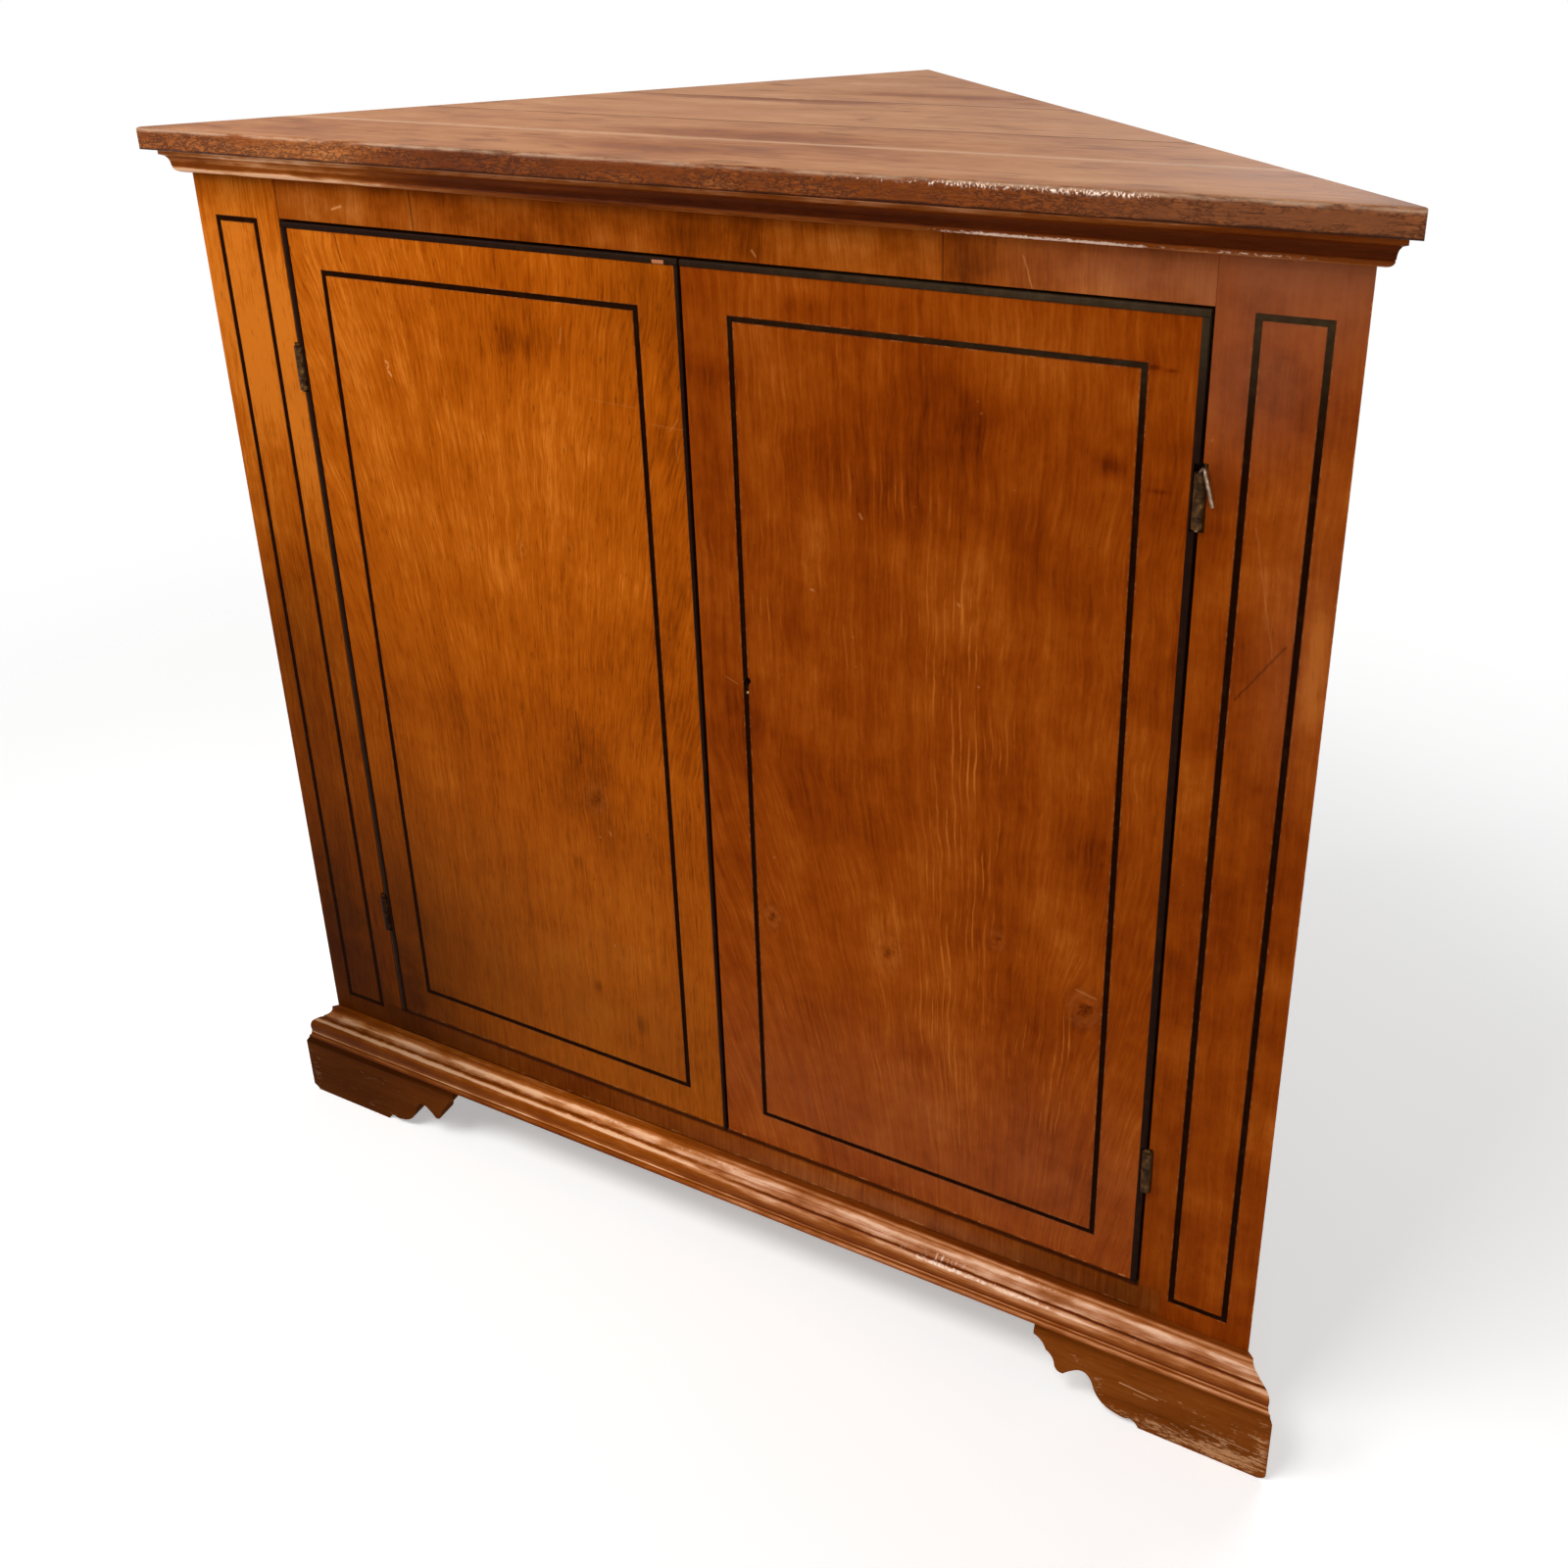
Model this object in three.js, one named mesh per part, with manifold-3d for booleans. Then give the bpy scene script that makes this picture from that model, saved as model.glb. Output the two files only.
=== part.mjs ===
// Corner cupboard in veneered cherry with ebonised strings and beads, two doors and scroll-cut bracket feet.
// Millimetres. +Z is up, the front faces -Y, and the two wall sides meet in a square corner towards +Y.
import * as THREE from 'three';
import { mergeVertices } from 'three/addons/utils/BufferGeometryUtils.js';
import Module from 'manifold-3d';

// Whole cupboard
const frontWidth = 930;
const totalHeight = 1000;
const cornerClearance = 0.4;
const fitGap = 0.3;
const overrun = 5;

// Top: four planks parallel to the front
const topThickness = 18;
const topOverhang = 28;
const topUpperRounding = 5;
const topLowerRounding = 3;
const topTipRounding = 7;
const topFrontPlankDepth = 88;
const topSecondPlankDepth = 78;
const topThirdPlankDepth = 119;
const topSeamGap = 0.5;

// Cornice moulding under the top
const corniceHeight = 21.5;
const corniceProjection = 16.8;

// Outline of the cornice from its foot to its upper front edge: shares of its projection and of its height.
// A row of two numbers ends a straight run, and a row of four is a bend's control point and its end.
const corniceShares = [
  [0.52, 0.01, 0.62, 0.24],
  [0.61, 0.27, 0.595, 0.285],
  [0.63, 0.3],
  [0.65, 0.58, 0.775, 0.655],
  [0.775, 0.684],
  [1, 0.767],
  [1, 1],
];

// Front frame
const frameThickness = 24;
const stileWidth = 88.5;
const friezeHeight = 54;
const bottomRailReveal = 27;
const railHousing = 17.5;

// Base moulding
const baseHeight = 31.5;
const baseProjection = 23.8;

// Outline of the base moulding from its lower front edge to its upper one, in the same kind of rows
const baseShares = [
  [1, 0],
  [1, 0.055],
  [0.92, 0.07, 0.91, 0.19],
  [0.895, 0.25],
  [0.941, 0.444, 0.866, 0.571],
  [0.782, 0.686, 0.53, 0.686],
  [0.49, 0.673],
  [0.48, 0.717],
  [0.206, 0.737, 0.193, 0.946],
  [0.193, 1],
];

// Bracket feet
const footHeight = 67;
const footProjection = 26.3;
const footLength = 191.3;
const footPadLength = 101;
const footThickness = 20;
const footChamferHeight = 4;
const footBlockWidth = 76;
const footBlockDepth = 50;
const rearFootReach = 75;

// Scroll of a foot from the pad's end to the scroll's inner end: shares of the scroll's length and of its height
const scrollShares = [
  [0.03, 0.1, 0.09, 0.1],
  [0.13, 0.06, 0.2, 0.09],
  [0.39, 0.13, 0.44, 0.44],
  [0.5, 0.64, 0.6, 0.54],
  [0.66, 0.48, 0.71, 0.4],
  [0.79, 0.38, 0.8, 0.54],
  [0.82, 0.65, 0.88, 0.69],
  [0.91, 0.84, 1, 0.88],
];

// Wall sides, corner post, boards and cleats
const backBoardThickness = 14;
const backBoardSplitShare = 0.5;
const backBoardGap = 0.8;
const postSize = 28;
const bottomBoardThickness = 18;
const bottomBoardRise = 12.5;
const shelfThickness = 18;
const shelfSetback = 30;
const lowerShelfRise = 262;
const upperShelfRise = 522;
const cleatWidth = 20;
const cleatHeight = 26;
const cleatEndClearance = 4;

// Door stop behind the frieze rail
const doorStopDrop = 12;
const doorStopHeight = 32;
const doorStopThickness = 12;
const doorStopEndClearance = 2;

// Doors
const hingeGap = 2;
const meetingGap = 2;
const meetingOffset = 1.2;
const doorTopGap = 2;
const doorBottomGap = 1.5;
const doorStopClearance = 0.5;

// Beads and strings
const beadWidth = 5;
const meetingBeadWidth = 3.2;
const beadDepth = 6;
const beadProud = 1.2;
const stringWidth = 4;
const stringDepth = 2;
const doorStringSideMargin = 36.3;
const doorStringTopMargin = 37.5;
const doorStringBottomMargin = 33.4;
const pilasterStringOuterMargin = 18.9;
const pilasterStringInnerMargin = 24;
const pilasterStringTopMargin = 55.8;
const pilasterStringBottomMargin = 20.7;

// Butt hinges
const hingeLength = 38;
const upperHingeDrop = 124;
const lowerHingeRise = 118;
const hingeForward = 0.5;
const knuckleRadius = 3.8;
const knuckleClearance = 0.6;
const lowerKnuckleShare = 0.22;
const middleKnuckleShare = 0.36;
const leafThickness = 1.4;
const leafReach = 18.5;
const hingePinRadius = 1.4;
const hingePinClearance = 0.35;
const hingePinHeadRadius = 2.3;
const hingePinHeadHeight = 1.8;

// Bent nail that serves as the upper right hinge pin
const nailTail = 1.9;
const nailCrownRise = 3.7;
const nailLegOffset = 10;
const nailLegForward = 5.2;
const nailLegDrop = 23.5;

// The nail's bend from its crown to its shoulder: shares of the leg's offset, of its way forward and of the crown
const nailBendShares = [
  [0.26, 0.4, 1],
  [0.44, 1, 0.2],
];

// Lock on the right door
const keyholeOffset = 0.9;
const keyholeDrop = 329;
const keyholeRadius = 3.5;
const keyholeSlotWidth = 3;
const keyholeSlotDrop = 7.8;
const lockCaseWidth = 54;
const lockCaseHeight = 64;
const lockCaseThickness = 12;
const lockCaseWall = 2;
const lockBoltHeight = 18;
const lockBoltThickness = 5;
const lockBoltLength = 27;
const lockBoltBackInset = 4;
const lockTravel = 7;
const keeperThickness = 1;
const keeperHeight = 36;
const keeperWidth = 13;
const keeperHoleClearance = 0.6;

// Bolts on the left door's back
const doorBoltInset = 22;
const doorBoltWidth = 8;
const doorBoltThickness = 6;
const doorBoltLength = 104;
const doorBoltTravel = 24;
const doorBoltTipClearance = 2;
const boltPlateWidth = 22;
const boltPlateThickness = 2;
const boltPlateLength = 76;
const boltPlateSetback = 5;
const boltStapleLength = 8;
const boltStapleWall = 2;
const boltKnobRadius = 4.5;
const boltKnobNeckRadius = 3.4;
const boltKnobLength = 10;
const boltKnobSetback = 50;

// Facets
const curveSteps = 7;
const roundSides = 20;
const nailSides = 10;
const nailSteps = 34;

// Heights that follow from the sizes above
const caseBottom = footHeight;
const caseTop = totalHeight - topThickness;
const baseTop = caseBottom + baseHeight;
const bottomRailTop = baseTop + bottomRailReveal;
const friezeBottom = caseTop - friezeHeight;
const doorBottom = bottomRailTop + doorBottomGap;
const doorTop = friezeBottom - doorTopGap;
const bottomBoardTop = bottomRailTop + bottomBoardRise;
const bottomBoardUnderside = bottomBoardTop - bottomBoardThickness;
const doorStopUnderside = friezeBottom - doorStopDrop;

// Places across the front and from front to back that follow from the sizes above
const half = frontWidth / 2;
const wallLength = half * Math.SQRT2;
const openingHalf = half - stileWidth;
const doorOuter = openingHalf - hingeGap;
const leftDoorInner = meetingOffset - meetingGap / 2;
const rightDoorInner = meetingOffset + meetingGap / 2;
const doorBack = frameThickness - doorStopClearance;
const pivotX = openingHalf - hingeGap / 2;
const pivotY = -hingeForward;
const upperHingeZ = doorTop - upperHingeDrop;
const lowerHingeZ = doorBottom + lowerHingeRise;
const hingeBore = hingePinRadius + hingePinClearance;
const keyholeX = rightDoorInner + doorStringSideMargin + stringWidth / 2 + keyholeOffset;
const keyholeZ = doorTop - keyholeDrop;
const doorBoltX = leftDoorInner - doorBoltInset;
const doorBoltFront = doorBack + boltPlateThickness + fitGap;
const doorBoltBack = doorBoltFront + doorBoltThickness;
const boardInset = backBoardThickness + fitGap;
const postFace = boardInset + postSize;

// Finishes: colour, roughness and metalness of each kind of surface
const finishes = {
  veneer: [0x9a5020, 0.4, 0],
  redVeneer: [0x8c4420, 0.4, 0],
  topWood: [0x9c6644, 0.6, 0],
  moulding: [0x8f4e26, 0.35, 0],
  ebony: [0x17100c, 0.4, 0],
  rawWood: [0xa98a5f, 0.85, 0],
  shelfWood: [0xb59467, 0.8, 0],
  brass: [0x7d6434, 0.45, 0.9],
  iron: [0x4a4540, 0.55, 0.9],
};

const wasm = await Module();
wasm.setup();

// Solid helpers

function toSolid(geometry) {
  const bare = geometry.clone();
  bare.deleteAttribute('normal');
  bare.deleteAttribute('uv');
  const merged = mergeVertices(bare, 1e-4);
  return new wasm.Manifold(new wasm.Mesh({
    numProp: 3,
    vertProperties: new Float32Array(merged.attributes.position.array),
    triVerts: new Uint32Array(merged.index.array),
  }));
}

function toGeometry(solid) {
  const mesh = solid.getMesh();
  const geometry = new THREE.BufferGeometry();
  geometry.setAttribute('position', new THREE.BufferAttribute(mesh.vertProperties, 3));
  geometry.setIndex(new THREE.BufferAttribute(mesh.triVerts, 1));
  return geometry;
}

function cut(geometry, ...tools) {
  let solid = toSolid(geometry);
  for (const tool of tools) {
    solid = solid.subtract(toSolid(tool));
  }
  return toGeometry(solid);
}

function join(...geometries) {
  return toGeometry(geometries.map(toSolid).reduce((whole, next) => whole.add(next)));
}

function common(first, second) {
  return toGeometry(toSolid(first).intersect(toSolid(second)));
}

// A box between two values along each axis, given in any order
function box(xs, ys, zs) {
  const spans = [xs, ys, zs];
  const size = spans.map(([start, end]) => Math.abs(end - start));
  const middle = spans.map(([start, end]) => (start + end) / 2);
  return new THREE.BoxGeometry(...size).translate(...middle);
}

function extrude(outline, depth) {
  return new THREE.ExtrudeGeometry(outline, { depth, bevelEnabled: false, curveSegments: curveSteps });
}

// A plan outline raised from one height to another
function raise(outline, low, high) {
  return extrude(outline, high - low).translate(0, 0, low);
}

// An outline drawn on the front as (across, up), given a thickness from front to back
function facing(outline, front, back) {
  return extrude(outline, back - front).rotateX(Math.PI / 2).translate(0, back, 0);
}

// A bar across the front whose section is drawn as (projection, height) and whose ends lie on the wall planes
function wallCutBar(section) {
  const geometry = extrude(section, 1);
  const position = geometry.attributes.position;
  for (let i = 0; i < position.count; i += 1) {
    const projection = position.getX(i);
    const height = position.getY(i);
    const side = position.getZ(i) < 0.5 ? 1 : -1;
    position.setXYZ(i, side * (half + projection), -projection, height);
  }
  return geometry;
}

// Continues an outline through rows of shares, which a function turns into places on the outline
function follow(outline, rows, place) {
  for (const row of rows) {
    if (row.length === 2) {
      outline.lineTo(...place(row[0], row[1]));
    } else {
      outline.quadraticCurveTo(...place(row[0], row[1]), ...place(row[2], row[3]));
    }
  }
}

function polygon(...points) {
  return new THREE.Shape(points.map(([x, y]) => new THREE.Vector2(x, y)));
}

function rectangle(left, right, low, high) {
  return polygon([left, low], [right, low], [right, high], [left, high]);
}

// A rectangular frame of one string width, drawn on the front
function stringOutline(left, right, low, high) {
  const shape = rectangle(left, right, low, high);
  shape.holes.push(rectangle(left + stringWidth, right - stringWidth, low + stringWidth, high - stringWidth));
  return shape;
}

// A plan point beside a wall: how far along it from the front end, and how far in from it
function wallPoint(side, along, inward) {
  return [side * (half - (along + inward) / Math.SQRT2), (along - inward) / Math.SQRT2];
}

// How far along a wall a plane parallel to the front lies, at a depth in from that wall
function alongAt(y, inward) {
  return y * Math.SQRT2 + inward;
}

// Top

function topSection(front, back) {
  const section = new THREE.Shape();
  section.moveTo(back, caseTop);
  section.lineTo(front - topLowerRounding, caseTop);
  section.quadraticCurveTo(front, caseTop, front, caseTop + topLowerRounding);
  section.lineTo(front, totalHeight - topUpperRounding);
  section.quadraticCurveTo(front, totalHeight, front - topUpperRounding, totalHeight);
  section.lineTo(back, totalHeight);
  section.closePath();
  return section;
}

// The top's plan, with its two acute front tips rounded
function roundedPlan() {
  const tip = half + topOverhang;
  const reach = topTipRounding / Math.SQRT2;
  const plan = new THREE.Shape();
  plan.moveTo(0, half);
  plan.lineTo(reach - tip, reach - topOverhang);
  plan.quadraticCurveTo(-tip, -topOverhang, topTipRounding - tip, -topOverhang);
  plan.lineTo(tip - topTipRounding, -topOverhang);
  plan.quadraticCurveTo(tip, -topOverhang, tip - reach, reach - topOverhang);
  plan.closePath();
  return raise(plan, caseTop - overrun, totalHeight + overrun);
}

function frontPlank(back) {
  return common(wallCutBar(topSection(topOverhang, -back)), roundedPlan());
}

function middlePlank(front, back) {
  return wallCutBar(rectangle(-back, -front, caseTop, totalHeight));
}

function rearPlank(front) {
  const back = half - cornerClearance;
  const outline = polygon(
    [front - half, front],
    [half - front, front],
    [cornerClearance, back],
    [-cornerClearance, back],
  );
  return raise(outline, caseTop, totalHeight);
}

// Cornice and base mouldings

function moulding(shares, projection, low, height) {
  const section = new THREE.Shape();
  section.moveTo(0, low);
  follow(section, shares, (out, up) => [out * projection, low + up * height]);
  section.lineTo(0, low + height);
  section.closePath();
  return wallCutBar(section);
}

// Front frame

// The hollow in the wood round a hinge's knuckles and behind its two leaves
function hingeRecess(side, centre, headroom) {
  const low = centre - hingeLength / 2;
  const high = centre + hingeLength / 2;
  const room = knuckleRadius + knuckleClearance;
  const end = hingePinHeadHeight + knuckleClearance;
  const leafSpan = hingeGap / 2 + leafThickness;
  const middle = side * pivotX;
  return [
    box([middle - room, middle + room], [pivotY - room, pivotY + room], [low - end, high + end + headroom]),
    box([middle - leafSpan, middle + leafSpan], [pivotY, pivotY + leafReach], [low, high]),
  ];
}

function hingeRecesses(side) {
  const headroom = side > 0 ? nailCrownRise : 0;
  return [...hingeRecess(side, upperHingeZ, headroom), ...hingeRecess(side, lowerHingeZ, 0)];
}

function pilasterStringOutline(side) {
  const ends = [side * (half - pilasterStringOuterMargin), side * (openingHalf + pilasterStringInnerMargin)];
  const low = baseTop + pilasterStringBottomMargin;
  const high = caseTop - pilasterStringTopMargin;
  return stringOutline(Math.min(...ends), Math.max(...ends), low, high);
}

function stile(side) {
  const outline = polygon(
    [side * openingHalf, 0],
    [side * half, 0],
    [side * (half - frameThickness), frameThickness],
    [side * openingHalf, frameThickness],
  );
  const housing = box(
    [side * (openingHalf - overrun), side * (openingHalf + railHousing)],
    [-overrun, frameThickness + overrun],
    [caseBottom - overrun, bottomRailTop],
  );
  const groove = facing(pilasterStringOutline(side), -overrun, stringDepth);
  return cut(raise(outline, caseBottom, caseTop), housing, groove, ...hingeRecesses(side));
}

function pilasterString(side) {
  return facing(pilasterStringOutline(side), 0, stringDepth);
}

function friezeRail() {
  return box([-openingHalf, openingHalf], [0, frameThickness], [friezeBottom, caseTop]);
}

function bottomRail() {
  const reach = openingHalf + railHousing;
  return box([-reach, reach], [0, frameThickness], [caseBottom, bottomRailTop]);
}

// Feet

function footOutline(side) {
  const tip = half + footProjection;
  const scrollStart = tip - footPadLength;
  const scrollLength = footLength - footPadLength;
  const outline = new THREE.Shape();
  outline.moveTo(side * tip, 0);
  outline.lineTo(side * scrollStart, 0);
  follow(outline, scrollShares, (along, up) => [side * (scrollStart - along * scrollLength), up * footHeight]);
  outline.lineTo(side * (tip - footLength), footHeight);
  outline.lineTo(side * tip, footHeight);
  outline.closePath();
  return outline;
}

// Everything between the wall planes from the floor to the case, for trimming the feet
function wallWedge() {
  const front = footProjection + overrun;
  return raise(polygon([-half - front, -front], [half + front, -front], [0, half]), -overrun, footHeight + overrun);
}

function bracketFoot(side) {
  const blank = facing(footOutline(side), -footProjection, footThickness - footProjection);
  const outer = footProjection + overrun;
  const chamfer = polygon(
    [footProjection, footHeight - footChamferHeight],
    [outer, footHeight - footChamferHeight],
    [outer, footHeight + overrun],
    [baseProjection, footHeight + overrun],
    [baseProjection, footHeight],
  );
  return cut(common(blank, wallWedge()), wallCutBar(chamfer));
}

function footBlock(side) {
  const front = footThickness - footProjection;
  const back = front + footBlockDepth;
  const outer = half - front;
  const inner = outer - footBlockWidth;
  const outline = polygon(
    [side * outer, front],
    [side * inner, front],
    [side * inner, back],
    [side * (half - back), back],
  );
  return raise(outline, 0, caseBottom);
}

function rearFoot() {
  const front = half - rearFootReach;
  const back = half - cornerClearance;
  const outline = polygon(
    [-rearFootReach, front],
    [rearFootReach, front],
    [cornerClearance, back],
    [-cornerClearance, back],
  );
  return raise(outline, 0, caseBottom);
}

// Wall sides, corner post, boards and cleats

function frontBackBoard(side) {
  const end = wallLength * backBoardSplitShare - backBoardGap / 2;
  const outline = polygon(
    wallPoint(side, alongAt(frameThickness, 0), 0),
    wallPoint(side, end, 0),
    wallPoint(side, end, backBoardThickness),
    wallPoint(side, alongAt(frameThickness, backBoardThickness), backBoardThickness),
  );
  return raise(outline, caseBottom, caseTop);
}

function rearBackBoard(side) {
  const start = wallLength * backBoardSplitShare + backBoardGap / 2;
  const end = wallLength - cornerClearance * Math.SQRT2;
  const outline = polygon(
    wallPoint(side, start, 0),
    wallPoint(side, end, 0),
    wallPoint(side, end - backBoardThickness, backBoardThickness),
    wallPoint(side, start, backBoardThickness),
  );
  return raise(outline, caseBottom, caseTop);
}

function rearPost() {
  const outline = polygon(
    wallPoint(1, wallLength - boardInset, boardInset),
    wallPoint(1, wallLength - boardInset, postFace),
    wallPoint(1, wallLength - postFace, postFace),
    wallPoint(1, wallLength - postFace, boardInset),
  );
  return raise(outline, caseBottom, caseTop);
}

// A board that fills the plan from its front edge back to the corner post
function cornerBoard(front, low, high) {
  const back = half - postFace * Math.SQRT2 - fitGap;
  const reach = half - boardInset * Math.SQRT2;
  const outline = polygon(
    [front - reach, front],
    [reach - front, front],
    [reach - back, back],
    [back - reach, back],
  );
  return raise(outline, low, high);
}

function cleat(side, top) {
  const inner = boardInset + cleatWidth;
  const start = alongAt(frameThickness + cleatEndClearance, inner);
  const end = wallLength - postFace - cleatEndClearance;
  const outline = polygon(
    wallPoint(side, start, boardInset),
    wallPoint(side, end, boardInset),
    wallPoint(side, end, inner),
    wallPoint(side, start, inner),
  );
  return raise(outline, top - cleatHeight, top);
}

// The way that a door bolt takes through the wood behind the front frame
function boltNotch(low, high) {
  const reach = doorBoltWidth / 2 + fitGap;
  return box([doorBoltX - reach, doorBoltX + reach], [doorBack, doorBoltBack + fitGap], [low, high]);
}

function bottomBoard() {
  const board = cornerBoard(frameThickness, bottomBoardUnderside, bottomBoardTop);
  return cut(board, boltNotch(bottomBoardUnderside - overrun, bottomBoardTop + overrun));
}

function doorStop() {
  const reach = openingHalf - doorStopEndClearance;
  const strip = box(
    [-reach, reach],
    [frameThickness, frameThickness + doorStopThickness],
    [doorStopUnderside, doorStopUnderside + doorStopHeight],
  );
  return cut(strip, boltNotch(doorStopUnderside - overrun, doorStopUnderside + doorBoltTravel));
}

// Doors

function doorEdges(side) {
  return side < 0 ? [-doorOuter, leftDoorInner] : [rightDoorInner, doorOuter];
}

function doorStringOutline(side) {
  const [left, right] = doorEdges(side);
  return stringOutline(
    left + doorStringSideMargin,
    right - doorStringSideMargin,
    doorBottom + doorStringBottomMargin,
    doorTop - doorStringTopMargin,
  );
}

function keyhole(back) {
  const start = -Math.PI / 3;
  const end = Math.PI - start;
  const outline = new THREE.Shape();
  outline.moveTo(keyholeX - keyholeSlotWidth / 2, keyholeZ - keyholeSlotDrop);
  outline.lineTo(keyholeX + keyholeSlotWidth / 2, keyholeZ - keyholeSlotDrop);
  outline.absarc(keyholeX, keyholeZ, keyholeRadius, start, end, false);
  outline.closePath();
  return facing(outline, -overrun, back);
}

function lockCaseSpans() {
  return [
    [rightDoorInner, rightDoorInner + lockCaseWidth],
    [doorBack - lockCaseThickness, doorBack],
    [keyholeZ - lockCaseHeight / 2, keyholeZ + lockCaseHeight / 2],
  ];
}

// The lock bolt's place from front to back and in height, grown by a clearance all round
function lockBoltSpans(growth) {
  const back = doorBack - lockBoltBackInset;
  return [
    [back - lockBoltThickness - growth, back + growth],
    [keyholeZ - lockBoltHeight / 2 - growth, keyholeZ + lockBoltHeight / 2 + growth],
  ];
}

function keeperSpans() {
  return [
    [leftDoorInner - keeperThickness, leftDoorInner],
    [doorBack - keeperWidth, doorBack],
    [keyholeZ - keeperHeight / 2, keyholeZ + keeperHeight / 2],
  ];
}

// The strips of a door that its beads take up
function beadRebates(side) {
  const [left, right] = doorEdges(side);
  const hingeEdge = side * doorOuter;
  const depth = [-overrun, beadDepth];
  const above = doorTop + overrun;
  const below = doorBottom - overrun;
  const rebates = [
    box([left - overrun, right + overrun], depth, [doorTop - beadWidth, above]),
    box([hingeEdge - side * beadWidth, hingeEdge + side * overrun], depth, [below, above]),
  ];
  if (side < 0) {
    rebates.push(box([right - meetingBeadWidth, right + overrun], depth, [below, above]));
  }
  return rebates;
}

function lockRecess() {
  const [xs, ys, zs] = lockCaseSpans();
  return box([xs[0] - overrun, xs[1]], [ys[0], ys[1] + overrun], zs);
}

function keeperRecesses() {
  const [xs, ys, zs] = keeperSpans();
  const [boltYs, boltZs] = lockBoltSpans(keeperHoleClearance);
  const depth = lockTravel + keeperHoleClearance;
  return [
    box([xs[0], xs[1] + overrun], [ys[0], ys[1] + overrun], zs),
    box([leftDoorInner - depth, leftDoorInner + overrun], boltYs, boltZs),
  ];
}

function doorPanel(side) {
  const slab = box(doorEdges(side), [0, doorBack], [doorBottom, doorTop]);
  const groove = facing(doorStringOutline(side), -overrun, stringDepth);
  const lockCuts = side < 0 ? keeperRecesses() : [lockRecess(), keyhole(doorBack)];
  return cut(slab, ...beadRebates(side), groove, ...hingeRecesses(side), ...lockCuts);
}

function doorString(side) {
  const ring = facing(doorStringOutline(side), 0, stringDepth);
  return side < 0 ? ring : cut(ring, keyhole(doorBack));
}

// Section of a bead from its inner edge: flat at the back, rounded where it stands proud of the door
function beadSection(start, width) {
  const section = new THREE.Shape();
  section.moveTo(start, beadDepth);
  section.lineTo(start, 0);
  section.quadraticCurveTo(start, -beadProud, start + width / 2, -beadProud);
  section.quadraticCurveTo(start + width, -beadProud, start + width, 0);
  section.lineTo(start + width, beadDepth);
  section.closePath();
  return section;
}

function hingeBead(side) {
  const start = Math.min(side * doorOuter, side * (doorOuter - beadWidth));
  const bead = raise(beadSection(start, beadWidth), doorBottom, doorTop - beadWidth);
  return cut(bead, ...hingeRecesses(side));
}

function meetingBead() {
  const section = beadSection(leftDoorInner - meetingBeadWidth, meetingBeadWidth);
  return raise(section, doorBottom, doorTop - beadWidth);
}

// The section is drawn on its side, then turned so that the bar's length runs across
function topBead(side) {
  const [left, right] = doorEdges(side);
  return raise(beadSection(-doorTop, beadWidth), left, right).rotateY(Math.PI / 2);
}

// Hinges

// Heights of the knuckles on the frame's leaf and of the one on the door's leaf
function knuckleSpans(centre) {
  const low = centre - hingeLength / 2;
  const high = centre + hingeLength / 2;
  const firstSeam = low + lowerKnuckleShare * hingeLength;
  const secondSeam = firstSeam + middleKnuckleShare * hingeLength;
  const play = fitGap / 2;
  return {
    frame: [[low, firstSeam - play], [secondSeam + play, high]],
    door: [[firstSeam + play, secondSeam - play]],
  };
}

function knuckle(pivot, low, high) {
  const ring = new THREE.Shape();
  ring.absarc(pivot, pivotY, knuckleRadius, 0, 2 * Math.PI, false);
  const bore = new THREE.Path();
  bore.absarc(pivot, pivotY, hingeBore, 0, 2 * Math.PI, true);
  ring.holes.push(bore);
  const depth = high - low;
  const geometry = new THREE.ExtrudeGeometry(ring, { depth, bevelEnabled: false, curveSegments: roundSides });
  return geometry.translate(0, 0, low);
}

function hingeLeaf(side, centre, part) {
  const outward = part === 'frame' ? side : -side;
  const pivot = side * pivotX;
  const near = hingeGap / 2;
  const xs = [pivot + outward * near, pivot + outward * (near + leafThickness)];
  const plateFront = pivotY + knuckleRadius + knuckleClearance;
  const plateHeights = [centre - hingeLength / 2, centre + hingeLength / 2];
  const pieces = [box(xs, [plateFront, pivotY + leafReach], plateHeights)];
  for (const [low, high] of knuckleSpans(centre)[part]) {
    pieces.push(knuckle(pivot, low, high));
    pieces.push(box(xs, [pivotY + hingeBore, plateFront + leafThickness], [low, high]));
  }
  return join(...pieces);
}

function hingePin(side, centre) {
  const end = hingeLength / 2 + fitGap;
  const top = end + hingePinHeadHeight;
  const rim = end + hingePinHeadHeight / 2;
  const halfProfile = [
    [hingePinRadius, end],
    [hingePinHeadRadius, end],
    [hingePinHeadRadius, rim],
    [hingePinRadius, top],
    [0, top],
  ];
  const lowerProfile = halfProfile.map(([radius, height]) => [radius, -height]).reverse();
  const profile = [...lowerProfile, ...halfProfile].map(([radius, height]) => new THREE.Vector2(radius, height));
  const pin = new THREE.LatheGeometry(profile, roundSides);
  return pin.rotateX(Math.PI / 2).translate(side * pivotX, pivotY, centre);
}

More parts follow.
